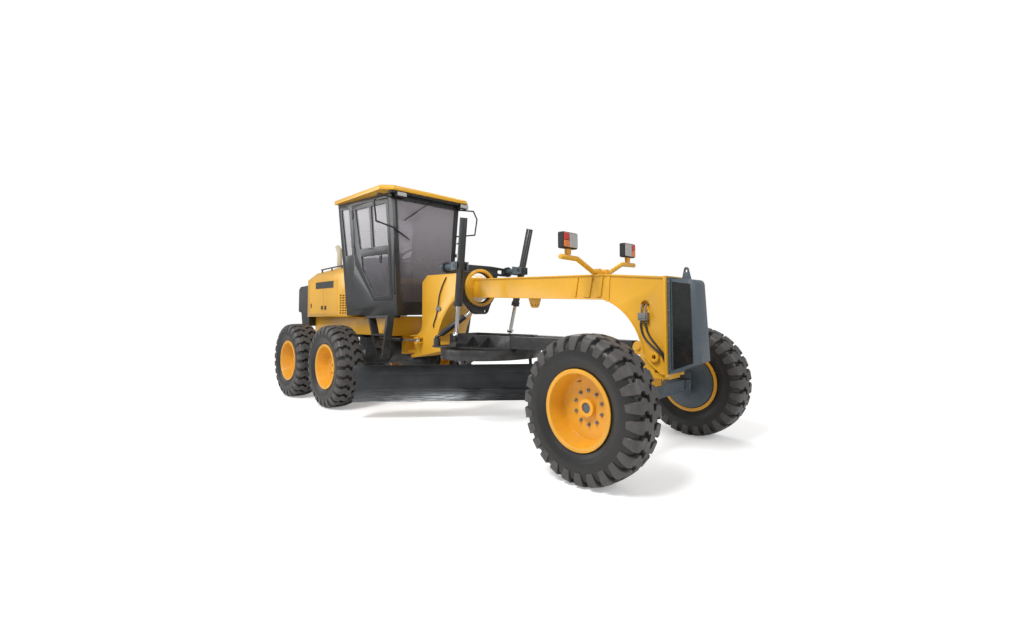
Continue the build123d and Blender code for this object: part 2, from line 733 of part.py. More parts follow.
with BuildPart() as front_frame:
    plates = outline(
        side_view(0, hinge_x),
        (from_hinge(1850), 783),
        (from_hinge(2469), 890),
        (from_hinge(2355), 1029),
        ((from_hinge(2530), 1390), (from_hinge(2809), 1640)),
        (from_hinge(3000), 1668),
        (from_hinge(3000), 1925),
        (from_hinge(2786), 2004),
        (from_hinge(2113), 2016),
        (from_hinge(1978), 1914),
        (from_hinge(1976), 1286),
        ((from_hinge(1940), 1185), (from_hinge(1850), 1120)),
    )
    extrude(plates, amount=plate_half, both=True)
    neck = outline(
        side_view(0, hinge_x),
        (from_hinge(1640), frame_low),
        (from_hinge(1860), frame_low + 35),
        (from_hinge(1860), flange_z),
        (from_hinge(1640), flange_z),
    )
    extrude(neck, amount=neck_half, both=True)
    block((hinge_x + hinge_nose, -plate_half, flange_z - 14), (hinge_x + 300, plate_half, flange_z))
    for side in (-1, 1):
        x, y = ram_front
        low_y, high_y = sorted((side * (plate_half - 1), side * (y + 40)))
        for low in (ram_z - ram_eye_half - ram_gap - ram_plate, ram_z + ram_eye_half + ram_gap):
            block((x - 45, low_y, low), (x + 45, high_y, low + ram_plate))
    hanger_top = nose_low + 200
    block((axle_x - 100, -hanger_half, hanger_low), (axle_x + 70, hanger_half, nose_low))
    block((axle_x - 45, -hanger_half, nose_low - 1), (axle_x + 120, hanger_half, hanger_top))
    block((axle_x + 69, -hanger_half, nose_low - 45), (nose_x - 12, hanger_half, nose_low + 10))
    cheek_front = axle_x - beam_deep - swing_gap
    block((axle_x - 120, -hanger_half, beam_z - 90), (cheek_front, hanger_half, nose_low - 95))
    pivot_rear = (axle_x - 130, 0, beam_z)
    bar(pivot_rear, (axle_x, 0, beam_z), pivot_radius + pin_gap, mode=Mode.SUBTRACT)
    for side in (-1, 1):
        low_y, high_y = sorted((side * ball_cheek, side * (ball_cheek + 28)))
        x, y, z = drawbar_pin
        block((x, low_y, z - 70), (x + 120, high_y, z + 70))
        bar((x, low_y, z), (x, high_y, z), 70)
    bar(
        (drawbar_pin[0], -ball_cheek - 40, drawbar_pin[2]),
        (drawbar_pin[0], ball_cheek + 40, drawbar_pin[2]),
        ball_pin,
    )
    for low, high in ((frame_low, lug_low_top), (lug_high_low, flange_z)):
        lug = outline(
            Plane.XY.offset(low),
            (hinge_x + hinge_nose, -lug_half - 60),
            (hinge_x, -lug_half + 60),
            ((hinge_x - hinge_nose + 10, 0), (hinge_x, lug_half - 60)),
            (hinge_x + hinge_nose, lug_half + 60),
        )
        extrude(lug, amount=high - low)
    block(
        (hinge_x, -plate_half - 1, lug_low_top),
        (hinge_x + hinge_nose + 40, plate_half + 1, lug_high_low),
        mode=Mode.SUBTRACT,
    )
    with Locations((hinge_x, 0, frame_low)):
        Cylinder(pin_radius, flange_z - frame_low, align=(Align.CENTER, Align.CENTER, Align.MIN))
    rear_top, rear_low = beam_points["rear"]
    lamp_top, lamp_low = beam_points["lamp"]
    beam = outline(
        side_view(0, hinge_x),
        (from_hinge(2900), rear_low),
        (from_hinge(5297), lamp_low),
        ((from_hinge(5560), 1440), (from_hinge(5787), 1008)),
        (from_hinge(5848), 941),
        (from_hinge(5990), nose_low),
        (nose_x - hinge_x, nose_low),
        (nose_x - hinge_x, beam_points["nose"]),
        (from_hinge(5313), lamp_top),
        (from_hinge(2900), rear_top),
    )
    extrude(beam, amount=beam_half, both=True)
    for side in (-1, 1):
        web = outline(
            side_view(side * beam_half, hinge_x),
            (from_hinge(3085), rear_low + 10),
            (from_hinge(5292), lamp_low + 16),
            ((from_hinge(5570), 1446), (from_hinge(5802), 1024)),
            (from_hinge(5868), 954),
            (from_hinge(5995), nose_low + flange),
            (nose_x - 22 - hinge_x, nose_low + flange),
            (nose_x - 22 - hinge_x, beam_points["nose"] - flange),
            (from_hinge(5313), lamp_top - flange),
            (from_hinge(3085), rear_top - 18),
        )
        extrude(web, amount=side * web_deep, mode=Mode.SUBTRACT)
    bar((boss_x, -boss_half, boss_z), (boss_x, boss_half, boss_z), boss_radius)
    bar((boss_x, -boss_half, boss_z), (boss_x, boss_half, boss_z), boss_bore, mode=Mode.SUBTRACT)
    for side in (-1, 1):
        mouth = (pipe_hole[0], side * beam_half, pipe_hole[1])
        bar(mouth, (pipe_hole[0], side * 85, pipe_hole[1]), pipe_hole_radius, mode=Mode.SUBTRACT)
    tie_down = outline(
        side_view(0, tandem_x),
        (4032, 1640),
        (4075, 1530),
        (4100, 1505),
        (4175, 1505),
        (4200, 1530),
        (4237, 1633),
    )
    extrude(tie_down, amount=15, both=True)
    for x in tie_down_holes:
        bar((x, -16, 1540), (x, 16, 1540), 12, mode=Mode.SUBTRACT)
    with Locations(front_view(ring_x, 0, ring_z).location):
        Cylinder(ring_outer, ring_thick)
    with BuildSketch(front_view(ring_x - ring_thick, 0, ring_z)) as windows:
        Circle(ring_inner)
        Rectangle(2 * ring_inner, rear_top - rear_low + 16, mode=Mode.SUBTRACT)
    extrude(amount=2 * ring_thick, mode=Mode.SUBTRACT)
    block((nose_x - 22, -180, nose_low - 20), (nose_x, 180, beam_points["nose"] + 5))
keep(front_frame.part, "front_frame")

nose_front_top = tandem_x + 6348.0
nose_front_low = axle_x + front_overhang
nose_half = 120.0
nose_flange = 28.0
nose_flange_half = 148.0
nose_top = 1756.0
eye_x = tandem_x + 6208.0
eye_hole_z = 1845.0
with BuildPart() as nose_cover:
    face = nose_x + nose_flange
    cover = outline(
        side_view(0, 0),
        (face - 1, 860),
        (nose_front_low, 975),
        (nose_front_top, nose_top - 60),
        ((nose_front_top - 18, nose_top - 16), (nose_front_top - 62, nose_top)),
        (face - 1, nose_top + 14),
    )
    extrude(cover, amount=nose_half, both=True)
    for side in (-1, 1):
        corner = outline(
            Plane.XY,
            (nose_front_top - 60, side * (nose_half + 1)),
            (nose_front_low + 1, side * (nose_half + 1)),
            (nose_front_low + 1, side * (nose_half - 34)),
        )
        extrude(corner, amount=2000, mode=Mode.SUBTRACT)
    block((nose_x + seat_gap, -nose_flange_half, 847), (face, nose_flange_half, nose_top + 28))
    eye = outline(
        side_view(0, eye_x),
        (-48, nose_top - 5),
        (48, nose_top - 5),
        (20, eye_hole_z + 20),
        ((0, eye_hole_z + 38), (-20, eye_hole_z + 20)),
    )
    extrude(eye, amount=14, both=True)
    bar((eye_x, -15, eye_hole_z), (eye_x, 15, eye_hole_z), 15, mode=Mode.SUBTRACT)
keep(nose_cover.part, "nose_cover")

# ================================================================ saddle and lamp bar
# The saddle plate stands behind the ring flange round the beam. Its wing carries the
# sleeves of both lift cylinders, and two lugs below take the circle's shift cylinder.
saddle_thick = 42.0
saddle_front = ring_x - ring_thick / 2 - seat_gap
saddle_radius = 302.0
saddle_hole = 208.0
trunnion = (tandem_x + 3333.0, -548.0, 2055.0)
lift_ball = (tandem_x + 3141.0, -478.0, 1110.0)
sleeve_radius = 48.0
sleeve_wall = 27.0
saddle_rear = saddle_front - saddle_thick
shift_eye = (tandem_x + 2955.0, -70.0, 1470.0)
with BuildPart() as lift_saddle:
    with BuildSketch(front_view(saddle_rear)) as saddle_plate:
        with Locations((0, ring_z)):
            Circle(saddle_radius)
        with BuildLine():
            Polyline(
                (-560, 1985),
                (-330, 1985),
                (-298, 1820),
                (298, 1820),
                (330, 1985),
                (560, 1985),
                (560, 2095),
                (200, 2118),
                (-200, 2118),
                (-560, 2095),
                close=True,
            )
        make_face()
        with BuildLine():
            Polyline(
                (-298, 1820),
                (-398, 1744),
                (-281, 1596),
                (-125, 1446),
                (-70, 1425),
                (106, 1425),
                (150, 1450),
                (245, 1659),
                (298, 1820),
                close=True,
            )
        make_face()
        for side in (-1, 1):
            with Locations((side * abs(trunnion[1]), trunnion[2])):
                Circle(sleeve_radius + sleeve_wall)
        with Locations((0, ring_z)):
            Circle(saddle_hole, mode=Mode.SUBTRACT)
        with Locations((106, 1468)):
            Circle(22, mode=Mode.SUBTRACT)
        for side in (-1, 1):
            with Locations((side * abs(trunnion[1]), trunnion[2])):
                Circle(sleeve_radius + seat_gap, mode=Mode.SUBTRACT)
            with Locations((side * 390, 2045)):
                SlotOverall(120, 52, mode=Mode.SUBTRACT)
    extrude(amount=saddle_thick)
    bar((shift_eye[0] + 38, *shift_eye[1:]), (saddle_rear + 1, *shift_eye[1:]), 32)
keep(lift_saddle.part, "lift_saddle")

# Each lift cylinder hangs in a forked yoke on the front end of a tube through the saddle.
barrel_radius = 48.0
rod_radius = 25.0
trunnion_pin = 22.0
fork_inner = 70.0
fork_wall = 24.0
yoke_web = 86.0
lift_run = (Vector(lift_ball) - Vector(trunnion)).normalized()
trunnion_axis = (0.2332, 0.9721, 0.0246)
fork = Plane(origin=trunnion, x_dir=(trunnion_axis[1], -trunnion_axis[0], 0), z_dir=(0, 0, 1))


def across(point):
    """The same point on the machine's other side."""
    return (point[0], -point[1], point[2])


def fork_block(low, high):
    """Box in the yoke's own frame, whose first axis points forward out of the fork."""
    middle = (Vector(low) + Vector(high)) / 2
    size = Vector(high) - Vector(low)
    with Locations(fork.location * Location(middle)):
        Box(size.X, size.Y, size.Z)


with BuildPart() as lift_yokes:
    x, y, z = trunnion
    bar((x - 400, y, z), (x - yoke_web, y, z), sleeve_radius)
    fork_block((-yoke_web - 22, -fork_inner - fork_wall, -62), (-yoke_web, fork_inner + fork_wall, 62))
    for low in (-fork_inner - fork_wall, fork_inner):
        fork_block((-yoke_web, low, -52), (42, low + fork_wall, 52))
    reach = Vector(trunnion_axis) * 130
    bar(Vector(trunnion) - reach, Vector(trunnion) + reach, trunnion_pin + seat_gap, mode=Mode.SUBTRACT)
    mirror(about=Plane.XZ)
keep(lift_yokes.part, "lift_yokes")

bar_tube = 27.0
bar_half = 687.0
lamp_seat = lamp_top + 5.5
bar_low = lamp_seat + bar_tube
bar_high = 2018.0
bend_in = 150.0
bend_out = 420.0
bar_points = [
    (-bar_half, bar_high),
    (-bend_out, bar_high - 6),
    (-bend_in, bar_low),
    (bend_in, bar_low),
    (bend_out, bar_high - 6),
    (bar_half, bar_high),
]
with BuildPart() as lamp_bar:
    for start, end in zip(bar_points, bar_points[1:]):
        bar((lamp_x, *start), (lamp_x, *end), bar_tube)
    for place in bar_points[1:-1]:
        with Locations((lamp_x, *place)):
            Sphere(bar_tube)
    for side in (-1, 1):
        low = (lamp_x - 45, side * 70 - 25, lamp_seat)
        block(low, (lamp_x + 45, side * 70 + 25, bar_low + bar_tube + 8))
keep(lamp_bar.part, "lamp_bar")

lamp_place_y = 590.0
lamp_size = (95.0, 175.0, 160.0)
with BuildPart() as headlamps:
    deep, wide, high = lamp_size
    base = bar_high + bar_tube
    for side in (-1, 1):
        y = side * lamp_place_y
        block((lamp_x - 35, y - 40, base + seat_gap), (lamp_x + 35, y + 40, base + 40))
        block((lamp_x - 12, y - 12, base + 40), (lamp_x + 12, y + 12, base + 70))
        block((lamp_x - deep / 2, y - wide / 2, base + 70), (lamp_x + deep / 2, y + wide / 2, base + 70 + high))
keep(headlamps.part, "headlamps")

# ================================================================ front axle
# A box beam hangs under the gooseneck. A knuckle leans about a pin at each end of it, a
# stub axle turns on the knuckle's kingpin, and one bar leans both knuckles together.
lean_y = 684.0
lean_end = 50.0
lean_pin = 30.0
king_y = 800.0
king_radius = 28.0
king_boss = 48.0
link_pin = 14.0
joint_pin = 13.0
joint_high = 70.0
lean_bar_x = axle_x - 95.0
lean_bar_z = beam_z + 190.0
arm_reach = 230.0
arm_z = 554.0
cheek_gap = 2.0
arm_half = 14.0
shield_y = 854.0
shield_thick = 12.0
shield_radius = 300.0
cheek = 24.0
king_half = 105.0
ear = 28.0
with BuildPart() as front_axle:
    block(
        (axle_x - beam_deep, -lean_y + 30, beam_z - beam_high),
        (axle_x + beam_deep, lean_y - 30, beam_z + beam_high),
    )
    for side in (-1, 1):
        pivot = (axle_x, side * lean_y, beam_z)
        bar((axle_x - beam_deep, *pivot[1:]), (axle_x + beam_deep, *pivot[1:]), lean_end)
        bar((axle_x - beam_deep - 45, *pivot[1:]), (axle_x + beam_deep + 45, *pivot[1:]), lean_pin)
    pivot_front = (axle_x + beam_deep + 14, 0, beam_z)
    bar((axle_x - 115, 0, beam_z), pivot_front, pivot_radius)
keep(front_axle.part, "front_axle")

plate_in = lean_y + lean_end + cheek_gap
plate_out = king_y - king_boss - cheek_gap
for name, side in (("left", 1), ("right", -1)):
    pivot = (side * lean_y, beam_z)
    king = (axle_x, side * king_y)
    with BuildPart() as knuckle:
        reach = beam_deep + cheek_gap + cheek
        low_y, high_y = sorted((side * (lean_y - 48), side * plate_out))
        for x in (axle_x - reach, axle_x + reach - cheek):
            block((x, low_y, beam_z - 42), (x + cheek, high_y, beam_z + 58))
        low_y, high_y = sorted((side * plate_in, side * plate_out))
        block(
            (axle_x - reach, low_y, beam_z - king_half - ear),
            (axle_x + reach, high_y, beam_z + king_half + ear),
        )
        low_y, high_y = sorted((side * plate_in, side * king_y))
        for z in (beam_z - king_half - ear, beam_z + king_half):
            block((axle_x - king_boss, low_y, z), (axle_x + king_boss, high_y, z + ear))
            bar((*king, z), (*king, z + ear), king_boss)
        low_y, high_y = sorted((side * (lean_y - 26), side * plate_out))
        block(
            (lean_bar_x - cheek / 2, low_y, beam_z + 50),
            (lean_bar_x + cheek / 2, high_y, lean_bar_z + 30),
        )
        bar((axle_x - 130, *pivot), (axle_x + 130, *pivot), lean_pin + pin_gap, mode=Mode.SUBTRACT)
        bar(
            (*king, beam_z - king_half - ear),
            (*king, beam_z + king_half + ear),
            king_radius + pin_gap,
            mode=Mode.SUBTRACT,
        )
        low_y, high_y = sorted((side * (plate_in - 1), side * (plate_out + 1)))
        block(
            (axle_x - reach - 1, low_y, arm_z - arm_half - swing_gap),
            (axle_x - 24, high_y, arm_z + arm_half + swing_gap),
            mode=Mode.SUBTRACT,
        )
        top = (side * lean_y, lean_bar_z)
        bar((lean_bar_x - 40, *top), (lean_bar_x + 40, *top), link_pin + pin_gap, mode=Mode.SUBTRACT)
    keep(knuckle.part, f"lean_knuckle_{name}")
    with BuildPart() as stub:
        bar((*king, beam_z - king_half - ear), (*king, beam_z + king_half + ear), king_radius)
        bar((*king, beam_z - king_half + pin_gap), (*king, beam_z + king_half - pin_gap), king_boss)
        bar((*king, axle_z), (axle_x, side * (wheel_y + 30), axle_z), hub_bore - pin_gap)
        arm_end = (axle_x - arm_reach, side * king_y)
        arm_low, arm_high = arm_z - arm_half, arm_z + arm_half
        block((arm_end[0], arm_end[1] - 18, arm_low), (axle_x, arm_end[1] + 18, arm_high))
        bar((*arm_end, arm_low), (*arm_end, arm_high), 30)
        shield = (axle_x, side * shield_y, axle_z)
        bar(shield, (axle_x, side * (shield_y + shield_thick), axle_z), shield_radius)
        bar((*arm_end, arm_z), (*arm_end, arm_z + joint_high), joint_pin)
    keep(stub.part, f"stub_axle_{name}")

with BuildPart() as lean_bar:
    face = lean_bar_x - cheek / 2 - cheek_gap
    bar((face - 22, -lean_y + 30, lean_bar_z), (face - 22, lean_y - 30, lean_bar_z), 20)
    for side in (-1, 1):
        top = (side * lean_y, lean_bar_z)
        bar((face - 44, *top), (face, *top), 36)
        bar((face, *top), (face + cheek + 2 * cheek_gap, *top), link_pin)
keep(lean_bar.part, "lean_bar")

# The tie rod hangs on a ball joint over the left steering arm and reaches the right one.
joint_x = axle_x - arm_reach
joint_low = arm_z + arm_half + cheek_gap
joint_foot = 8.0
rod_z = arm_z + 58
rod_end = (36.0, 30.0)
joint_ball = rod_end[1] - pin_gap
with BuildPart() as tie_rod_joint:
    foot = (joint_x, king_y, joint_low)
    bar(foot, (joint_x, king_y, joint_low + joint_foot), 26)
    bar(foot, (joint_x, king_y, rod_z), 17)
    with Locations((joint_x, king_y, rod_z)):
        Sphere(joint_ball)
    bar(foot, (joint_x, king_y, rod_z + joint_ball), joint_pin + pin_gap, mode=Mode.SUBTRACT)
keep(tie_rod_joint.part, "tie_rod_joint")

with BuildPart() as tie_rod:
    bar((joint_x, -king_y + 40, rod_z), (joint_x, king_y - 40, rod_z), 19)
    for side in (-1, 1):
        low, high = (joint_x, side * king_y, rod_z - 20), (joint_x, side * king_y, rod_z + 20)
        bar(low, high, rod_end[0])
        bar(low, high, rod_end[1], mode=Mode.SUBTRACT)
keep(tie_rod.part, "tie_rod")

# ================================================================ lift cylinders
barrel_low = 525.0
barrel_high = 620.0
barrel_end = 40.0
rod_inside = 880.0
cap_radius_outer = 46.0
cap_near = 42.0
cap_far = 86.0
ball_radius = 32.0


def along(distance, start=lift_ball):
    """Point up the right lift cylinder's axis from its lower ball."""
    return Vector(start) - lift_run * distance


run_length = (Vector(lift_ball) - Vector(trunnion)).length
for name, side in (("right", -1), ("left", 1)):
    with BuildPart() as lift_barrel:
        bar(along(run_length - barrel_low), along(run_length + barrel_high), barrel_radius)
        bar(along(run_length - barrel_low), along(run_length - barrel_low + 60), barrel_radius + 10)
        bar(along(run_length - 60), along(run_length + 60), barrel_radius + 9)
        reach = Vector(trunnion_axis) * (fork_inner + fork_wall)
        bar(Vector(trunnion) - reach, Vector(trunnion) + reach, trunnion_pin)
        bar(
            along(run_length - barrel_low),
            along(run_length + barrel_high - barrel_end),
            rod_radius + pin_gap,
            mode=Mode.SUBTRACT,
        )
        if side > 0:
            mirror(about=Plane.XZ, mode=Mode.REPLACE)
    keep(lift_barrel.part, f"lift_barrel_{name}")
    with BuildPart() as lift_rod:
        bar(along(cap_near), along(cap_far), cap_radius_outer)
        bar(along(cap_far), along(run_length - barrel_low + rod_inside), rod_radius)
        if side > 0:
            mirror(about=Plane.XZ, mode=Mode.REPLACE)
    keep(lift_rod.part, f"lift_rod_{name}")

# ================================================================ drawbar and circle
# The drawbar is an A-frame that hangs from a ball under the gooseneck. Its plate lies on
# the circle, and box walls on the plate carry the balls of the cylinders.
plate_z = 975.0
plate_thick = 25.0
wall_y = 225.0
wall_thick = 24.0
wall_top = 1150.0
plate_wide = 450.0
shift_ball = (tandem_x + 2700.0, -472.0, 1111.0)
shift_ball_radius = 30.0
cup_drop = 14.0
drawbar_rear = circle_x - 640.0
drawbar_front = circle_x + 640.0
gusset_stations = (circle_x - 96.0, circle_x + 218.0)
with BuildPart() as drawbar:
    plate = outline(
        Plane.XY.offset(plate_z),
        (drawbar_rear, -520),
        (drawbar_rear + 260, -520),
        (circle_x + 260, -plate_wide),
        (drawbar_front, -wall_y - wall_thick),
        (drawbar_front, wall_y + wall_thick),
        (circle_x + 260, plate_wide),
        (drawbar_rear + 260, 300),
        (drawbar_rear, 300),
    )
    extrude(plate, amount=plate_thick)
    with Locations((circle_x, 0, plate_z)):
        Cylinder(190, 2 * plate_thick, mode=Mode.SUBTRACT)
    deck = plate_z + plate_thick
    for side in (-1, 1):
        low_y, high_y = sorted((side * wall_y, side * (wall_y + wall_thick)))
        block((drawbar_rear + 20, low_y, deck), (drawbar_front, high_y, wall_top))
        leg = outline(
            Plane.XY.offset(deck - 5),
            (drawbar_front - 60, side * (wall_y + wall_thick)),
            (drawbar_pin[0] - 90, side * 62),
            (drawbar_pin[0] - 90, 0),
            (drawbar_pin[0] - 190, 0),
            (drawbar_front - 60, side * (wall_y - 75)),
        )
        extrude(leg, amount=wall_top - deck)
        for x in gusset_stations:
            gusset = outline(
                front_view(x),
                (side * (wall_y + wall_thick), deck),
                (side * (plate_wide - 20), deck),
                (side * (wall_y + wall_thick), wall_top - 15),
            )
            extrude(gusset, amount=14)
        x, y, z = lift_ball
        low_y, high_y = sorted((side * (wall_y + wall_thick), side * (abs(y) + 55)))
        block((x - 70, low_y, deck), (x + 70, high_y, deck + 52))
        bar((x, side * abs(y), deck + 50), (x, side * abs(y), z), 19)
        bar((x, side * abs(y), deck + 50), (x, side * abs(y), deck + 62), 44)
        with Locations((x, side * abs(y), z)):
            Sphere(ball_radius)
    for x in (drawbar_rear + 20, drawbar_front - wall_thick):
        block((x, -wall_y, deck), (x + wall_thick, wall_y, wall_top))
    x, y, z = shift_ball
    bar((x, y, deck), (x, y, z - cup_drop), 46)
    with Locations(shift_ball):
        Sphere(shift_ball_radius + pin_gap, mode=Mode.SUBTRACT)
    block((drawbar_pin[0] - 130, -50, drawbar_pin[2] - 42), (drawbar_pin[0], 50, drawbar_pin[2] + 42))
    bar((drawbar_pin[0], -50, drawbar_pin[2]), (drawbar_pin[0], 50, drawbar_pin[2]), 46)
    bar((drawbar_pin[0], -50, drawbar_pin[2]), (drawbar_pin[0], 50, drawbar_pin[2]), ball_pin + pin_gap, mode=Mode.SUBTRACT)
keep(drawbar.part, "drawbar")

# The circle shift cylinder lies from the cup on the drawbar up to the saddle's right lug.
shift_run = (Vector(shift_eye) - Vector(shift_ball)).normalized()
shift_length = (Vector(shift_eye) - Vector(shift_ball)).length
shift_barrel_radius = 40.0
shift_rod_radius = 22.0
shift_barrel_end = shift_length - 125.0
with BuildPart() as shift_barrel:
    with Locations(shift_ball):
        Sphere(shift_ball_radius)
    bar(shift_ball, Vector(shift_ball) + shift_run * 70, 20)
    bar(Vector(shift_ball) + shift_run * 66, Vector(shift_ball) + shift_run * shift_barrel_end, shift_barrel_radius)
    bar(
        Vector(shift_ball) + shift_run * 80,
        Vector(shift_ball) + shift_run * shift_barrel_end,
        shift_rod_radius + pin_gap,
        mode=Mode.SUBTRACT,
    )
keep(shift_barrel.part, "circle_shift_barrel")

with BuildPart() as shift_rod:
    bar(Vector(shift_ball) + shift_run * 175, shift_eye, shift_rod_radius)
    with Locations(shift_eye):
        Sphere(32)
keep(shift_rod.part, "circle_shift_rod")

# ================================================================ blade
# Everything below the circle is drawn in the blade's own frame: forward of the blade,
# then along it to its left end.
forward = Vector(cos(radians(blade_turn)), sin(radians(blade_turn)), 0)
leftward = Vector(-forward.Y, forward.X, 0)
circle_outer = 680.0
circle_inner = 560.0
circle_low = 850.0
arm_along = (500.0, 540.0)
tilt_pin = (-315.0, 330.0)
tilt_radius = 22.0
rail_reach = 900.0
blade_sag = 100.0
blade_thick = 20.0
blade_lip = 20.0
blade_shift = (blade_lip - blade_sag - blade_thick) / 2 * tan(radians(-blade_turn))
tube_centre = (-190.0, 520.0)
tube_outer = 37.0
tube_rod = 22.0


def blade_side(y):
    """Plane across the blade at a distance along it, drawn as (forward, height)."""
    origin = Vector(circle_x, 0, 0) + leftward * y
    return Plane(origin=origin, x_dir=forward, z_dir=-leftward)


def blade_block(low, high, mode=Mode.ADD):
    """Box in the blade's frame between two opposite corners."""
    middle = (Vector(low) + Vector(high)) / 2
    size = Vector(high) - Vector(low)
    with Locations(Location((circle_x, 0, 0), (0, 0, blade_turn)) * Location(middle)):
        Box(size.X, size.Y, size.Z, mode=mode)


def blade_bar(x, z, low, high, radius, mode=Mode.ADD):
    """Round bar along the blade."""
    middle = Vector(circle_x, 0, z) + forward * x
    bar(middle + leftward * low, middle + leftward * high, radius, mode=mode)


with BuildPart() as circle:
    with BuildSketch(Plane.XY.offset(circle_low)) as ring_plan:
        with Locations((circle_x, 0)):
            Circle(circle_outer)
            Circle(circle_inner, mode=Mode.SUBTRACT)
    extrude(amount=plate_z - circle_low - seat_gap)
    for low, high in (arm_along, (-arm_along[1], -arm_along[0])):
        arm = outline(
            blade_side(high),
            (-430, circle_low),
            (-120, circle_low),
            (-120, circle_low - 45),
            (tilt_pin[0] + 50, blade_top - 20),
            (tilt_pin[0] + 50, tilt_pin[1]),
            ((tilt_pin[0], tilt_pin[1] - 50), (tilt_pin[0] - 50, tilt_pin[1])),
            (-430, 700),
        )
        extrude(arm, amount=high - low)
        blade_bar(*tilt_pin, low - 1, high + 1, tilt_radius + pin_gap, mode=Mode.SUBTRACT)
keep(circle.part, "circle")

with BuildPart() as blade_carrier:
    blade_bar(*tilt_pin, -arm_along[1], arm_along[1], tilt_radius)
    blade_bar(*tilt_pin, -arm_along[0] + cheek_gap, arm_along[0] - cheek_gap, 38)
    for low in (-460, 430):
        side_plate = outline(
            blade_side(low + 30),
            (tilt_pin[0] - 20, tilt_pin[1] - 42),
            (-150, 285),
            (-150, 650),
            (-190, 650),
            (-250, 560),
            (tilt_pin[0] - 20, tilt_pin[1] + 42),
        )
        extrude(side_plate, amount=30)
    blade_block((-150, -rail_reach, 285), (-115, rail_reach, 345))
    blade_block((-190, -rail_reach, 600), (-150, rail_reach, 650))
    blade_bar(*tube_centre, -470, 700, tube_outer)
    blade_bar(*tube_centre, -470, 670, tube_rod + pin_gap, mode=Mode.SUBTRACT)
keep(blade_carrier.part, "blade_carrier")

half_blade = blade_length / 2
with BuildPart() as moldboard:
    middle_z = (blade_bottom + blade_top) / 2
    face = outline(
        blade_side(half_blade + blade_shift),
        (0, blade_bottom),
        ((-blade_sag, middle_z), (blade_lip, blade_top)),
        (blade_lip - blade_thick, blade_top),
        ((-blade_sag - blade_thick, middle_z), (-blade_thick, blade_bottom)),
    )
    extrude(face, amount=blade_length)
    edge = outline(
        blade_side(half_blade + blade_shift),
        (-10, blade_bottom),
        (16, blade_bottom),
        ((-41, blade_bottom + 75), (-72, blade_bottom + 150)),
        (-92, blade_bottom + 150),
        ((-67, blade_bottom + 75), (-10, blade_bottom)),
    )
    extrude(edge, amount=blade_length)
    strip = half_blade - 330
    blade_block((-113, blade_shift - strip, 290), (-52, blade_shift + strip, 340))
    blade_block((-148, blade_shift - strip, 600), (-66, blade_shift + strip, 650))
    bracket = -1500 + blade_shift
    blade_block((tube_centre[0] - 32, bracket - 25, tube_centre[1] - 40), (-105, bracket + 25, tube_centre[1] + 40))
    blade_bar(*tube_centre, bracket, 100, tube_rod)
keep(moldboard.part, "moldboard")

# ================================================================ articulation cylinders
ram_barrel = 36.0
ram_rod = 20.0
ram_eye = 34.0
ram_barrel_length = 640.0
for name, side in (("left", 1), ("right", -1)):
    rear = (ram_rear[0], side * ram_rear[1], ram_z)
    front = (ram_front[0], side * ram_front[1], ram_z)
    with BuildPart() as ram:
        bar(between(rear, front, 46), between(rear, front, ram_barrel_length), ram_barrel)
        bar(between(rear, front, ram_eye - 6), between(rear, front, 50), ram_rod)
        bar((*rear[:2], ram_z - ram_eye_half), (*rear[:2], ram_z + ram_eye_half), ram_eye)
        bar((*rear[:2], ram_z - ram_eye_half), (*rear[:2], ram_z + ram_eye_half), ram_pin + pin_gap, mode=Mode.SUBTRACT)
        bar(between(rear, front, 70), between(rear, front, ram_barrel_length), ram_rod + pin_gap, mode=Mode.SUBTRACT)
    keep(ram.part, f"articulation_barrel_{name}")
    with BuildPart() as ram_piston:
        bar(between(rear, front, 290), front, ram_rod)
        bar((*front[:2], ram_z - ram_eye_half), (*front[:2], ram_z + ram_eye_half), ram_eye - 2)
    keep(ram_piston.part, f"articulation_rod_{name}")
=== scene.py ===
import math

import bmesh
import bpy
import numpy as np
from mathutils import Matrix, Vector


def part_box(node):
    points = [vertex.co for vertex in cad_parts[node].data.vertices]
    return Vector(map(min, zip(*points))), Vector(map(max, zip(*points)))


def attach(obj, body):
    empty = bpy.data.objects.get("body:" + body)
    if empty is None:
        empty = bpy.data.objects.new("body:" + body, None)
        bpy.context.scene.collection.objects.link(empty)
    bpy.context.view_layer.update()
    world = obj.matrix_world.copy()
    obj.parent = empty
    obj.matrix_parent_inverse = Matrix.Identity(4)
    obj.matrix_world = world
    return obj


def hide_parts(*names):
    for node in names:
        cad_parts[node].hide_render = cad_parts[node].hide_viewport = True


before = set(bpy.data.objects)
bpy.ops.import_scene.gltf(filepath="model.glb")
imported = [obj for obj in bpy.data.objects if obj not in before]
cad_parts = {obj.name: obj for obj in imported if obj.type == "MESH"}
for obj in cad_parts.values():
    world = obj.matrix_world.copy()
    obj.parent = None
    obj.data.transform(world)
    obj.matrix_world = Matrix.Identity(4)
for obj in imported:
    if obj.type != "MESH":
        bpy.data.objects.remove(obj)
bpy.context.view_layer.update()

mm = 0.001

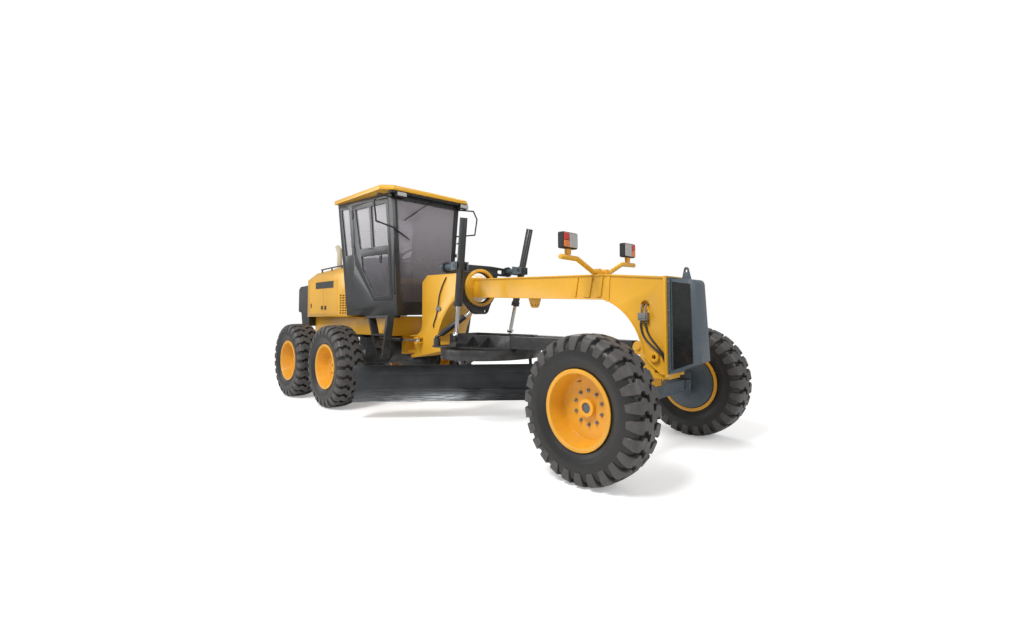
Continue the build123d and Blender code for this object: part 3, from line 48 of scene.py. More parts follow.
# ---------------------------------------------------------------- camera and studio
# The machine stands on a plain pale floor. The camera looks at its front right corner from
# a little under eye height, and a wide lens keeps the whole machine in view.
camera_place = Vector((6.1705, -4.2245, 1.4662))
camera_yaw, camera_pitch, camera_roll = 2.28671, 0.045073, -0.007455
level_gaze = math.cos(camera_pitch)
gaze = Vector((level_gaze * math.cos(camera_yaw), level_gaze * math.sin(camera_yaw), math.sin(camera_pitch)))
level = Vector((math.sin(camera_yaw), -math.cos(camera_yaw), 0))
rise = level.cross(gaze)
right = level * math.cos(camera_roll) + rise * math.sin(camera_roll)
above = rise * math.cos(camera_roll) - level * math.sin(camera_roll)
lens = bpy.data.cameras.new("camera")
lens.sensor_width = 36.0
lens.lens = 466.499 / 1026 * lens.sensor_width
lens.shift_x = (513.0 - 562.46) / 1026
lens.shift_y = (289.66 - 311.0) / 1026
lens.clip_end = 200.0
camera = bpy.data.objects.new("camera", lens)
camera.matrix_world = Matrix.Translation(camera_place) @ Matrix((right, above, -gaze)).transposed().to_4x4()
bpy.context.scene.collection.objects.link(camera)
bpy.context.scene.camera = camera
bpy.context.scene.view_settings.view_transform = "Standard"


def lamp(name, place, aim, size, power, colour=(1, 1, 1)):
    """Soft square lamp that hangs at a place and faces a point."""
    light = bpy.data.lights.new(name, "AREA")
    light.shape = "SQUARE"
    light.size = size
    light.energy = power
    light.color = colour
    holder = bpy.data.objects.new(name, light)
    holder.location = place
    holder.rotation_mode = "QUATERNION"
    holder.rotation_quaternion = (Vector(aim) - Vector(place)).to_track_quat("-Z", "Y")
    bpy.context.scene.collection.objects.link(holder)


lamp("key", (3.0, -7.5, 10.0), (0.5, 0, 1.2), 4.0, 1050)
lamp("front", (12.0, 1.5, 6.0), (2.0, 0, 1.2), 4.0, 300)
lamp("back", (-6.0, 8.0, 10.0), (0, 0, 1.5), 6.0, 550)
lamp("side", (-8.0, -7.0, 5.0), (-2, 0, 1.2), 5.0, 260)

world = bpy.data.worlds.new("studio")
world.use_nodes = True
bpy.context.scene.world = world
tree = world.node_tree
tree.nodes.clear()
path = tree.nodes.new("ShaderNodeLightPath")
seen = tree.nodes.new("ShaderNodeMath")
seen.operation = "MAXIMUM"
tree.links.new(path.outputs["Is Camera Ray"], seen.inputs[0])
tree.links.new(path.outputs["Is Transmission Ray"], seen.inputs[1])
fill = tree.nodes.new("ShaderNodeBackground")
fill.inputs["Color"].default_value = (1, 1, 1, 1)
fill.inputs["Strength"].default_value = 0.42
white = tree.nodes.new("ShaderNodeBackground")
white.inputs["Color"].default_value = (1, 1, 1, 1)
white.inputs["Strength"].default_value = 1.0
mix = tree.nodes.new("ShaderNodeMixShader")
out = tree.nodes.new("ShaderNodeOutputWorld")
tree.links.new(seen.outputs[0], mix.inputs[0])
tree.links.new(fill.outputs[0], mix.inputs[1])
tree.links.new(white.outputs[0], mix.inputs[2])
tree.links.new(mix.outputs[0], out.inputs["Surface"])


class Finish:
    """A material under construction: nodes are added by kind and joined by socket."""

    def __init__(self, name):
        self.material = bpy.data.materials.new(name)
        self.material.use_nodes = True
        self.nodes = self.material.node_tree.nodes
        self.links = self.material.node_tree.links
        self.nodes.clear()
        self.out = self.nodes.new("ShaderNodeOutputMaterial")

    def add(self, kind, values=None, **settings):
        """New node; values go to its sockets by name or number, and a socket joins."""
        node = self.nodes.new("ShaderNode" + kind)
        for key, value in settings.items():
            setattr(node, key, value)
        for key, value in (values or {}).items():
            if isinstance(value, bpy.types.NodeSocket):
                self.links.new(value, node.inputs[key])
            else:
                node.inputs[key].default_value = value
        return node

    def noise(self, where, scale, detail=2.0, rough=0.5):
        """Noise between about 0.3 and 0.7 at a number of waves a metre."""
        values = {"Vector": where, "Scale": scale, "Detail": detail, "Roughness": rough}
        return self.add("TexNoise", values).outputs["Fac"]

    def spread(self, value, low, high, new_low=0.0, new_high=1.0):
        """A value's range stretched onto another range and held there."""
        values = {"Value": value, "From Min": low, "From Max": high, "To Min": new_low, "To Max": new_high}
        return self.add("MapRange", values).outputs[0]

    def times(self, first, second):
        """Product of two values."""
        return self.add("Math", {0: first, 1: second}, operation="MULTIPLY").outputs[0]

    def blend(self, factor, first, second, how="MIX"):
        """One colour mixed into another."""
        node = self.add("Mix", data_type="RGBA", blend_type=how)
        for socket, value in ((node.inputs[0], factor), (node.inputs[6], first), (node.inputs[7], second)):
            if isinstance(value, bpy.types.NodeSocket):
                self.links.new(value, socket)
            elif isinstance(value, (int, float)):
                socket.default_value = value
            else:
                socket.default_value = (*value, 1.0)
        return node.outputs[2]

    def close(self, shader):
        self.links.new(shader.outputs[0], self.out.inputs["Surface"])
        return self.material


floor_finish = Finish("floor")
spot = floor_finish.add("TexCoord").outputs["Object"]
distance = floor_finish.add("VectorMath", {0: spot}, operation="LENGTH").outputs["Value"]
fade = floor_finish.spread(distance, 5.0, 9.5)
ground = floor_finish.add("BsdfDiffuse", {"Color": (0.93, 0.93, 0.93, 1)})
glow = floor_finish.add("Emission", {"Color": (1, 1, 1, 1), "Strength": 0.30})
lit_ground = floor_finish.add("AddShader", {0: ground.outputs[0], 1: glow.outputs[0]})
clear = floor_finish.add("BsdfTransparent")
seen_floor = floor_finish.add("LightPath").outputs["Is Camera Ray"]
floor_kind = floor_finish.add("MixShader", {0: seen_floor, 1: ground.outputs[0], 2: lit_ground.outputs[0]})
floor_mix = floor_finish.add("MixShader", {0: fade, 1: floor_kind.outputs[0], 2: clear.outputs[0]})
floor_mesh = bpy.data.meshes.new("floor")
reach = 14.0
corners = [(-reach, -reach, 0), (reach, -reach, 0), (reach, reach, 0), (-reach, reach, 0)]
floor_mesh.from_pydata(corners, [], [(0, 1, 2, 3)])
floor = bpy.data.objects.new("floor", floor_mesh)
floor.location.z = -0.002
floor_mesh.materials.append(floor_finish.close(floor_mix))
bpy.context.scene.collection.objects.link(floor)


# ---------------------------------------------------------------- tyres
# Wide earthmover tyres: a rubber casing with a smooth side wall and a bead in the rim, and
# two rows of hooked lugs half a pitch apart, moulded on. The lugs' tops are scuffed grey.
def shell(name, body, patches, materials):
    """One piece from patches. A patch is (points, closed ways, smooth, material, tone):
    k grids of n by m points whose neighbours join as quads, with the end of a closed way
    joined to its start; the tone is a number for each point that a material may read."""
    points, quads, smooth, slots, tones, start = [], [], [], [], [], 0
    for grid, closed, is_smooth, number, tone in patches:
        grid = np.asarray(grid, dtype=float)
        grid = grid.reshape((-1,) + grid.shape[-3:])
        index = start + np.arange(grid.size // 3).reshape(grid.shape[:3])
        if "n" in closed:
            index = np.concatenate((index, index[:, :1]), 1)
        if "m" in closed:
            index = np.concatenate((index, index[:, :, :1]), 2)
        corners = (index[:, :-1, :-1], index[:, 1:, :-1], index[:, 1:, 1:], index[:, :-1, 1:])
        faces = np.stack(corners, -1).reshape(-1, 4)
        points.append(grid.reshape(-1, 3))
        quads.append(faces)
        smooth.append(np.full(len(faces), is_smooth))
        slots.append(np.full(len(faces), number))
        tones.append(np.broadcast_to(tone, grid.shape[:3]).reshape(-1))
        start += grid.size // 3
    mesh = bpy.data.meshes.new(name)
    mesh.from_pydata(np.concatenate(points).tolist(), [], np.concatenate(quads).tolist())
    mesh.polygons.foreach_set("use_smooth", np.concatenate(smooth))
    mesh.polygons.foreach_set("material_index", np.concatenate(slots).astype(np.int32))
    mesh.attributes.new("tone", "FLOAT", "POINT").data.foreach_set("value", np.concatenate(tones))
    for material in materials:
        mesh.materials.append(material)
    work = bmesh.new()
    work.from_mesh(mesh)
    bmesh.ops.remove_doubles(work, verts=work.verts, dist=0.01 * mm)
    bmesh.ops.dissolve_degenerate(work, edges=work.edges, dist=0.001 * mm)
    bmesh.ops.recalc_face_normals(work, faces=work.faces)
    work.to_mesh(mesh)
    work.free()
    piece = bpy.data.objects.new(name, mesh)
    bpy.context.scene.collection.objects.link(piece)
    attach(piece, body)
    return piece


def turned(profile, start, axis, sides=48):
    """Profile of (distance along, radius) turned about an axis: each point is
    start + along * axis + radius * (cos t * first + sin t * second)."""
    axis = np.asarray(axis, dtype=float) / np.linalg.norm(axis)
    first = np.cross(axis, (0, 0, 1) if abs(axis[2]) < 0.9 else (1, 0, 0))
    first = first / np.linalg.norm(first)
    second = np.cross(axis, first)
    t = np.linspace(0, 2 * math.pi, sides, endpoint=False)
    along, radius = np.asarray(profile, dtype=float).T[:, :, None]
    ring = np.cos(t)[:, None] * first + np.sin(t)[:, None] * second
    grid = along[..., None] * axis + radius[..., None] * ring
    return np.asarray(start, dtype=float)[..., None, None, :] + grid


def rubber(name):
    """Tyre rubber: near black with soft sheen, greyer and rougher where the tone is high."""
    black = Finish(name)
    spot = black.add("TexCoord").outputs["Object"]
    worn = black.add("Attribute", attribute_name="tone").outputs["Fac"]
    cloud = black.spread(black.noise(spot, 14.0, 6.0, 0.6), 0.3, 0.7)
    grit = black.spread(black.noise(spot, 120.0, 3.0), 0.35, 0.65)
    scuff = black.times(worn, black.spread(cloud, 0.0, 1.0, 0.6, 1.0))
    tone = black.blend(scuff, (0.010, 0.010, 0.010), (0.085, 0.078, 0.076))
    with_dust_and_painted_reflection = black.blend(black.times(grit, 0.25), tone, (0.05, 0.045, 0.042))
    shine = black.spread(worn, 0.0, 1.0, 0.42, 0.50)
    bump = black.add("Bump", {"Height": grit, "Strength": 0.18, "Distance": 0.001})
    values = {"Base Color": with_dust_and_painted_reflection, "Roughness": shine, "Normal": bump.outputs[0]}
    return black.close(black.add("BsdfPrincipled", values))


tyre_rubber = rubber("tyre_rubber")

# half of the casing, then its inside: (outwards from the middle, radius)
casing_half = [(0, 600), (60, 599), (110, 596), (140, 590), (160, 578), (172, 560), (180, 535), (186, 505)]
casing_half += [(188, 480), (187.5, 450), (183, 424), (180, 420), (176, 400), (170, 388), (160, 370), (152, 357)]
casing_half += [(150, 346), (135, 346), (140, 372), (150, 400), (160, 440), (163, 480), (158, 530)]
casing_half += [(140, 560), (100, 578), (0, 584)]
casing_half = np.array(casing_half)
casing_section = np.concatenate((casing_half, (casing_half * (-1, 1))[-2:0:-1])) * mm
# along a lug: (outwards from the middle, top radius, foot radius, hook, width)
lug_path = np.array([
    (-16, 634, 595, 0.000, 0.70),
    (8, 634, 596, 0.000, 0.92),
    (50, 634, 596, 0.006, 0.95),
    (62, 633, 595, 0.058, 0.95),
    (104, 631, 592, 0.066, 1.00),
    (116, 629, 590, 0.030, 1.00),
    (150, 621, 580, 0.034, 0.98),
    (168, 609, 566, 0.036, 0.94),
    (181, 584, 545, 0.040, 0.86),
    (187.5, 552, 522, 0.044, 0.76),
    (188.5, 515, 503, 0.048, 0.66),
])
lugs_in_row = 26
lug_half_angle = 0.080
lug_profile = np.array([(-1.12, 0.0), (-1.0, 0.90), (-0.90, 1.0), (0.90, 1.0), (1.0, 0.90), (1.12, 0.0)])


def lug_grids(side):
    """Row of lugs on one side: at each station a section of (angle, height) is carried
    round by the hook, and flat end walls close it; gives (outwards, radius, angle)."""
    rows = np.concatenate((lug_path[:1], lug_path, lug_path[-1:]))
    full = np.ones(len(rows))
    full[0] = full[-1] = 0.0
    along, top, foot, hook, width = rows.T[:, :, None]
    across, height = lug_profile.T[:, None, :]
    angle = hook + width * lug_half_angle * across
    radius = foot + (top - foot) * height * full[:, None]
    out = np.broadcast_to(along * side, angle.shape)
    pitch = 2 * math.pi / lugs_in_row
    turn = (np.arange(lugs_in_row) + (0.5 if side > 0 else 0.0)) * pitch
    grid = np.broadcast_to(np.stack((out * mm, radius * mm, angle), -1), (lugs_in_row, *angle.shape, 3)).copy()
    grid[..., 2] += turn[:, None, None]
    return grid


def on_wheel(grid, centre, side):
    """Wheel's own (outwards, radius, angle) to places in the machine's frame."""
    out, radius, angle = np.moveaxis(grid, -1, 0)
    x = centre[0] + radius * np.cos(angle)
    z = centre[2] + radius * np.sin(angle)
    return np.stack((x, centre[1] + side * out, z), -1)


casing_turn = np.linspace(0, 2 * math.pi, 144, endpoint=False)
casing_grid = np.zeros((len(casing_section), len(casing_turn), 3))
casing_grid[..., :2] = casing_section[:, None, :]
casing_grid[..., 2] = casing_turn
lug_rows = [lug_grids(1), lug_grids(-1)]
lug_tone = np.where(lug_profile[:, 1] > 0.5, 1.0, 0.0)
wheels = [(place, side) for place in ("front", "middle", "rear") for side in ("left", "right")]
wheel_centre = {}
for place, side in wheels:
    node = f"tyre_{place}_{side}"
    low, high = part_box(node)
    centre = [(a + b) / 2 for a, b in zip(low, high)]
    wheel_centre[place, side] = centre
    hand = 1 if side == "left" else -1
    patches = [(on_wheel(casing_grid, centre, hand), "nm", True, 0, 0.0)]
    patches += [(on_wheel(row, centre, hand), "", False, 0, lug_tone) for row in lug_rows]
    tyre = shell(f"tread_{place}_{side}", f"wheel_{place}_{side}", patches, [tyre_rubber])
    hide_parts(node)

# ---------------------------------------------------------------- wheel nuts and valves
# Ten zinc-grey nuts hold each painted steel disc to its hub, and a zinc-grey valve stem stands
# in the dish. The disc and the deep barrel are the solid ones, with dressed edges.
nut_circle, nut_size, nut_high = 118 * mm, 15 * mm, 17 * mm
disc_out = -5 * mm
nut_profile = np.array([(0, 19), (3, 19), (3, 15), (14, 15), (17, 11.5), (17, 7), (27, 7), (28, 0)]) * mm


def coated_steel(name, colour, metallic=0.8, rough=0.35):
    """Plated small parts: even metal with faint patches of dust."""
    plated = Finish(name)
    spot = plated.add("TexCoord").outputs["Object"]
    cloud = plated.spread(plated.noise(spot, 30.0, 4.0), 0.3, 0.7)
    tone = plated.blend(cloud, colour, tuple(c * 0.7 for c in colour))
    shine = plated.spread(cloud, 0.0, 1.0, rough, rough + 0.15)
    values = {"Base Color": tone, "Roughness": shine, "Metallic": metallic}
    return plated.close(plated.add("BsdfPrincipled", values))


zinc = coated_steel("zinc_plate", (0.35, 0.35, 0.34))


def prisms(name, body, shapes, material, edge=0.0, segments=2):
    """One piece from straight-sided shapes, each (corners of the foot in order, push to the
    far end); its edges are rounded to a radius."""
    points, faces = [], []
    for foot, push in shapes:
        foot = np.asarray(foot, dtype=float)
        count, start = len(foot), len(points)
        points += (foot).tolist() + (foot + np.asarray(push, dtype=float)).tolist()
        ring = np.arange(count)
        faces.append((start + ring[::-1]).tolist())
        faces.append((start + count + ring).tolist())
        after = (ring + 1) % count
        faces += (start + np.stack((ring, after, after + count, ring + count), -1)).tolist()
    mesh = bpy.data.meshes.new(name)
    mesh.from_pydata(points, [], faces)
    mesh.materials.append(material)
    work = bmesh.new()
    work.from_mesh(mesh)
    bmesh.ops.recalc_face_normals(work, faces=work.faces)
    work.to_mesh(mesh)
    work.free()
    piece = bpy.data.objects.new(name, mesh)
    bpy.context.scene.collection.objects.link(piece)
    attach(piece, body)
    if edge:
        for polygon in mesh.polygons:
            polygon.use_smooth = True
        rounding = piece.modifiers.new("edge", "BEVEL")
        rounding.width = edge
        rounding.segments = segments
        rounding.limit_method = "ANGLE"
        rounding.harden_normals = True
    return piece


def brick(low, high):
    """Box between two corners as a foot and a push."""
    (x0, y0, z0), (x1, y1, z1) = np.minimum(low, high), np.maximum(low, high)
    return [(x0, y0, z0), (x1, y0, z0), (x1, y1, z0), (x0, y1, z0)], (0, 0, z1 - z0)


tandem_x = (wheel_centre["middle", "left"][0] + wheel_centre["rear", "left"][0]) / 2
wheel_nut_turn = np.arange(10) * math.radians(36) + math.radians(18)


def at(x, y, z):
    """Place in metres for millimetres forward of the tandems' middle, left, and up."""
    return np.stack(np.broadcast_arrays(tandem_x + np.asarray(x) * mm, np.asarray(y) * mm, np.asarray(z) * mm), -1)


nut_ring = 145 * mm
cap_profile = np.array([(38, 60), (38, 78), (44, 78), (50, 72), (50, 60), (46, 56), (46, 14), (52, 12), (52, 0)]) * mm
for place, side in wheels:
    hand = 1 if side == "left" else -1
    centre = np.array(wheel_centre[place, side])
    spots = np.stack((np.cos(wheel_nut_turn), np.zeros(10), np.sin(wheel_nut_turn)), -1) * nut_ring
    seats = centre + spots + np.array((0, hand * disc_out, 0))
    nuts = turned(nut_profile, seats, (0, hand, 0), 6)
    cap = turned(cap_profile, centre, (0, hand, 0), 40)
    valve = turned(np.array([(0, 7), (30, 7), (32, 5), (48, 5), (50, 0)]) * mm, centre + (-90 * mm, hand * disc_out, 215 * mm), (0, hand, 0), 10)
    shell(f"nuts_{place}_{side}", f"wheel_{place}_{side}", [(nuts, "m", False, 0, 0.0), (valve, "m", True, 0, 0.0)], [zinc])

# ---------------------------------------------------------------- painted sheet and castings
# Sprayed enamel over welded plate: an even colour with a faint orange-peel ripple, a little
# road dust low down, and duller patches where hands and boots go.
def enamel(name, colour, rough=0.3, dust_and_painted_reflection=0.12, ripple=0.02, coat=0.3, metallic=0.0):
    """Paint: colour varied by broad noise, dust by height and noise, ripple by fine noise."""
    paint = Finish(name)
    spot = paint.add("TexCoord").outputs["Object"]
    broad = paint.noise(spot, 1.6, 3.0)
    tone = paint.blend(paint.spread(broad, 0.3, 0.7), colour, tuple(c * 0.86 for c in colour))
    height = paint.add("SeparateXYZ", {0: spot}).outputs["Z"]
    low = paint.spread(height, 0.2, 1.9, 1.0, 0.25)
    grains = paint.spread(paint.noise(spot, 9.0, 8.0, 0.65), 0.47, 0.72)
    amount = paint.add("Math", {0: low, 1: grains}, operation="MULTIPLY").outputs[0]
    veil = paint.add("Math", {0: amount, 1: dust_and_painted_reflection}, operation="MULTIPLY").outputs[0]
    with_dust_and_painted_reflection = paint.blend(veil, tone, (0.30, 0.25, 0.19))
    scuffs = paint.noise(spot, 22.0, 6.0, 0.6)
    shine = paint.spread(scuffs, 0.3, 0.75, rough, min(1.0, rough + 0.18))
    fine = paint.noise(spot, 260.0, 2.0)
    bump = paint.add("Bump", {"Height": fine, "Strength": ripple, "Distance": 0.001})
    values = {
        "Base Color": with_dust_and_painted_reflection,
        "Roughness": shine,
        "Normal": bump.outputs[0],
        "Coat Weight": coat,
        "Coat Roughness": 0.12,
        "Metallic": metallic,
    }
    return paint.close(paint.add("BsdfPrincipled", values))


yellow = enamel("body_yellow", (0.83, 0.43, 0.022))
orange = enamel("rim_orange", (0.82, 0.385, 0.018), rough=0.4)
charcoal = enamel("cab_charcoal", (0.018, 0.020, 0.023), rough=0.34, dust_and_painted_reflection=0.08)
black = enamel("frame_black", (0.016, 0.017, 0.019), rough=0.42, dust_and_painted_reflection=0.16)
slate = enamel("axle_slate", (0.075, 0.10, 0.12), rough=0.38, dust_and_painted_reflection=0.12)
iron = enamel("engine_iron", (0.05, 0.05, 0.05), rough=0.6, dust_and_painted_reflection=0.3, ripple=0.2, coat=0.0)
cream = enamel("exhaust_cream", (0.55, 0.50, 0.36), rough=0.5, dust_and_painted_reflection=0.2, coat=0.0)
moulded = enamel("moulded_plastic", (0.02, 0.02, 0.021), rough=0.55, dust_and_painted_reflection=0.1, ripple=0.3, coat=0.0)
link_steel = enamel("link_steel", (0.10, 0.11, 0.12), rough=0.4, dust_and_painted_reflection=0.15, metallic=0.3)


def weave(name, colour):
    """Woven seat cloth: two crossed waves for the threads, with soft fibre noise."""
    cloth = Finish(name)
    spot = cloth.add("TexCoord").outputs["Object"]
    across = cloth.add("TexWave", {"Vector": spot, "Scale": 260.0, "Distortion": 0.4}, bands_direction="Y")
    down = cloth.add("TexWave", {"Vector": spot, "Scale": 260.0, "Distortion": 0.4}, bands_direction="Z")
    threads = cloth.add("Math", {0: across.outputs["Fac"], 1: down.outputs["Fac"]}, operation="MAXIMUM").outputs[0]
    tone = cloth.blend(threads, tuple(c * 0.55 for c in colour), colour)
    bump = cloth.add("Bump", {"Height": threads, "Strength": 0.35, "Distance": 0.001})
    values = {"Base Color": tone, "Roughness": 0.9, "Normal": bump.outputs[0], "Sheen Weight": 0.3}
    return cloth.close(cloth.add("BsdfPrincipled", values))


seat_cloth = weave("seat_cloth", (0.045, 0.045, 0.05))


def chrome_plate(name):
    """Hard chrome on a ground rod: mirror-like with faint rings along its length."""
    plate = Finish(name)
    spot = plate.add("TexCoord").outputs["Object"]
    rings = plate.noise(spot, 90.0, 2.0)
    shine = plate.spread(rings, 0.3, 0.7, 0.07, 0.16)
    values = {"Base Color": (0.78, 0.79, 0.80, 1), "Metallic": 1.0, "Roughness": shine}
    return plate.close(plate.add("BsdfPrincipled", values))


chrome = chrome_plate("rod_chrome")


def steel_with_painted_highlight(name, colour, highlight_tone):
    """Blade steel: dark mill scale, with bright lengthwise scouring where soil slides, kept low on the blade as a
    painted highlight that lightens the lower face.
    """
    steel = Finish(name)
    spot = steel.add("TexCoord").outputs["Object"]
    turned = steel.add("Mapping", {"Vector": spot, "Rotation": (0, 0, math.radians(-42.6))})
    stretched = steel.add("Mapping", {"Vector": turned.outputs[0], "Scale": (0.6, 6.0, 14.0)})
    streaks = steel.noise(stretched.outputs[0], 9.0, 6.0, 0.6)
    patches = steel.noise(spot, 3.0, 4.0)
    height = steel.add("SeparateXYZ", {0: spot}).outputs["Z"]
    # Painted highlight and scouring: the bright streaks are kept low on the blade, so its lower face is lighter, as a
    # glint on the concave face would make it.
    low = steel.spread(height, 0.24, 0.46, 1.0, 0.0)
    scour_and_painted_highlight = steel.add("Math", {0: steel.spread(streaks, 0.40, 0.66), 1: low}, operation="MULTIPLY").outputs[0]
    base = steel.blend(steel.spread(patches, 0.35, 0.7), colour, tuple(c * 0.6 for c in colour))
    tone = steel.blend(scour_and_painted_highlight, base, highlight_tone)
    shine = steel.spread(streaks, 0.3, 0.7, 0.55, 0.3)
    bump = steel.add("Bump", {"Height": streaks, "Strength": 0.05, "Distance": 0.002})
    values = {"Base Color": tone, "Roughness": shine, "Metallic": 0.55, "Normal": bump.outputs[0]}
    return steel.close(steel.add("BsdfPrincipled", values))


# The third colour is the pale steel of the painted highlight and the scouring.
blade_steel = steel_with_painted_highlight("blade_steel", (0.040, 0.044, 0.048), (0.17, 0.175, 0.18))


def pane(name, tint, painted_reflection_tint):
    """Tinted safety glass: clear with a sharp reflection, and a pale sheet, a painted sky
    reflection, that grows from the sill to the roof."""
    glass = Finish(name)
    spot = glass.add("TexCoord").outputs["Object"]
    smear = glass.spread(glass.noise(spot, 4.0, 4.0), 0.35, 0.7, 0.02, 0.06)
    height = glass.add("SeparateXYZ", {0: spot}).outputs["Z"]
    # Painted reflection: a pale diffuse sheet over the clear glass, more of it towards the roof, stands in for the
    # sky mirrored in the panes.
    painted_reflection_amount = glass.spread(height, 1.9, 3.3, 0.10, 0.46)
    edge = glass.add("Fresnel", {"IOR": 1.5}).outputs[0]
    clear = glass.add("BsdfTransparent", {"Color": (*tint, 1)})
    shine = glass.add("BsdfGlossy", {"Color": (1, 1, 1, 1), "Roughness": smear})
    dust_and_painted_reflection = glass.add("BsdfDiffuse", {"Color": (*painted_reflection_tint, 1)})
    with_dust_and_painted_reflection = glass.add("MixShader", {0: painted_reflection_amount, 1: clear.outputs[0], 2: dust_and_painted_reflection.outputs[0]})
    return glass.close(glass.add("MixShader", {0: edge, 1: with_dust_and_painted_reflection.outputs[0], 2: shine.outputs[0]}))


# The second colour is the pale sheet of the painted sky reflection.
cab_tint = pane("cab_glass_tint", (0.78, 0.77, 0.79), (0.64, 0.61, 0.67))
gloss_black = enamel("cover_black", (0.012, 0.013, 0.014), rough=0.22, dust_and_painted_reflection=0.05)
reflector = enamel("lamp_lens", (0.62, 0.62, 0.60), rough=0.10, dust_and_painted_reflection=0.05, coat=1.0, metallic=0.5)
amber = enamel("amber_lens", (0.85, 0.22, 0.03), rough=0.12, dust_and_painted_reflection=0.03, coat=1.0)
signal_red = enamel("red_lens", (0.65, 0.03, 0.015), rough=0.12, dust_and_painted_reflection=0.03, coat=1.0)



def run(points, radius, sides=12, steps=8):
    """Round bar along a smooth path through points: a Catmull-Rom curve p(t) = (2b + (c - a)t
    + (2a - 5b + 4c - d)t2 + (3b - a - 3c + d)t3) / 2, with a ring of the radius across it."""
    points = np.asarray(points, dtype=float)
    ends = np.concatenate((2 * points[:1] - points[1:2], points, 2 * points[-1:] - points[-2:-1]))
    t = np.linspace(0, 1, steps, endpoint=False)[None, :, None]
    a, b, c, d = (ends[i:len(ends) - 3 + i, None] for i in range(4))
    path = (2 * b + (c - a) * t + (2 * a - 5 * b + 4 * c - d) * t**2 + (3 * b - a - 3 * c + d) * t**3) / 2
    path = np.concatenate((path.reshape(-1, 3), points[-1:]))
    along = np.gradient(path, axis=0)
    along /= np.linalg.norm(along, axis=1, keepdims=True)
    flat = np.linalg.svd(path - path.mean(0) + 1e-9)[2][-1]
    first = np.cross(flat, along)
    first /= np.linalg.norm(first, axis=1, keepdims=True)
    second = np.cross(along, first)
    turn = np.linspace(0, 2 * math.pi, sides, endpoint=False)[None, :, None]
    ring = np.cos(turn) * first[:, None] + np.sin(turn) * second[:, None]
    width = np.ones((len(path) + 2, 1, 1)) * radius
    width[0] = width[-1] = 0
    rows = np.concatenate((path[:1], path, path[-1:]))
    ring = np.concatenate((ring[:1], ring, ring[-1:]))
    return rows[:, None] + width * ring


def bars(name, body, lines, radius, material, sides=12):
    """Round bars along several paths as one piece."""
    return shell(name, body, [(run(line, radius, sides), "m", True, 0, 0.0) for line in lines], [material])


# ---------------------------------------------------------------- hood trim
# Pressed side doors with folded edges, a bare name plate riveted on each side, latches,
# and grab rails along the crown. Bolted on over the painted sheet.
hood_side = 572
for side, hand in (("right", -1), ("left", 1)):
    skin = hand * hood_side
    doors = [brick(at(-1440, skin - hand * 2, 1440), at(-830, skin + hand * 5, 2060))]
    doors.append(brick(at(-815, skin - hand * 2, 1440), at(-240, skin + hand * 5, 2060)))
    prisms(f"hood_doors_{side}", "chassis", doors, yellow, 4 * mm)
    plate = [brick(at(-1180, skin + hand * 3, 1915), at(-400, skin + hand * 9, 2040))]
    prisms(f"name_plate_{side}", "chassis", plate, black, 2 * mm)
    latch_shapes = [brick(at(x, skin + hand * 3, 1520), at(x + 60, skin + hand * 16, 1590)) for x in (-910, -760)]
    latch_shapes.append(brick(at(-1400, skin + hand * 3, 1560), at(-1370, skin + hand * 14, 1640)))
    prisms(f"hood_latches_{side}", "chassis", latch_shapes, moulded, 3 * mm)
    rail_y = hand * 420
    rail = [at(-1290, rail_y, 2160), at(-1285, rail_y, 2290), at(-1260, rail_y, 2305)]
    rail += [at(-440, rail_y, 2325), at(-415, rail_y, 2310), at(-410, rail_y, 2180)]
    posts = [[at(-850, rail_y, 2160), at(-850, rail_y, 2312)]]
    bars(f"hood_rail_{side}", "chassis", [rail, *posts], 13 * mm, black)


# ---------------------------------------------------------------- cab trim
# A black header and two work lamps under the roof's front edge, wipers that hang from it,
# grab rails by the doors, and latches. Bolted to the painted cab frame.
cab_front = 1715
header = [brick(at(cab_front - 6, -640, 3190), at(cab_front + 14, 640, 3298))]
header += [brick(at(cab_front + 8, -690, 3262), at(cab_front + 105, 690, 3299))]
prisms("cab_header", "chassis", header, gloss_black, 4 * mm)
lamp_cases, lamp_faces, lamp_glass = [], [], []
for y in (-520, 640):
    lamp_cases.append(brick(at(1742, y - 85, 3218), at(1838, y + 85, 3292)))
    lamp_faces.append(brick(at(1832, y - 74, 3226), at(1842, y + 74, 3284)))
prisms("work_lamp_cases", "chassis", lamp_cases, moulded, 8 * mm, 3)
prisms("work_lamp_faces", "chassis", lamp_faces, reflector, 3 * mm)


def wiper(pivot, tip, droop):
    """Arm from its pivot to its blade, and the blade across the arm's end."""
    pivot, tip = np.array(pivot, dtype=float), np.array(tip, dtype=float)
    middle = pivot + (tip - pivot) * 0.5 + np.array((10, 0, droop))
    arm = [at(*pivot), at(*middle), at(*tip)]
    way = (tip - pivot) / np.linalg.norm(tip - pivot)
    blade = [at(*(tip - way * 240 + (-6, 0, 0))), at(*(tip + way * 20 + (-6, 0, 0)))]
    return arm, blade


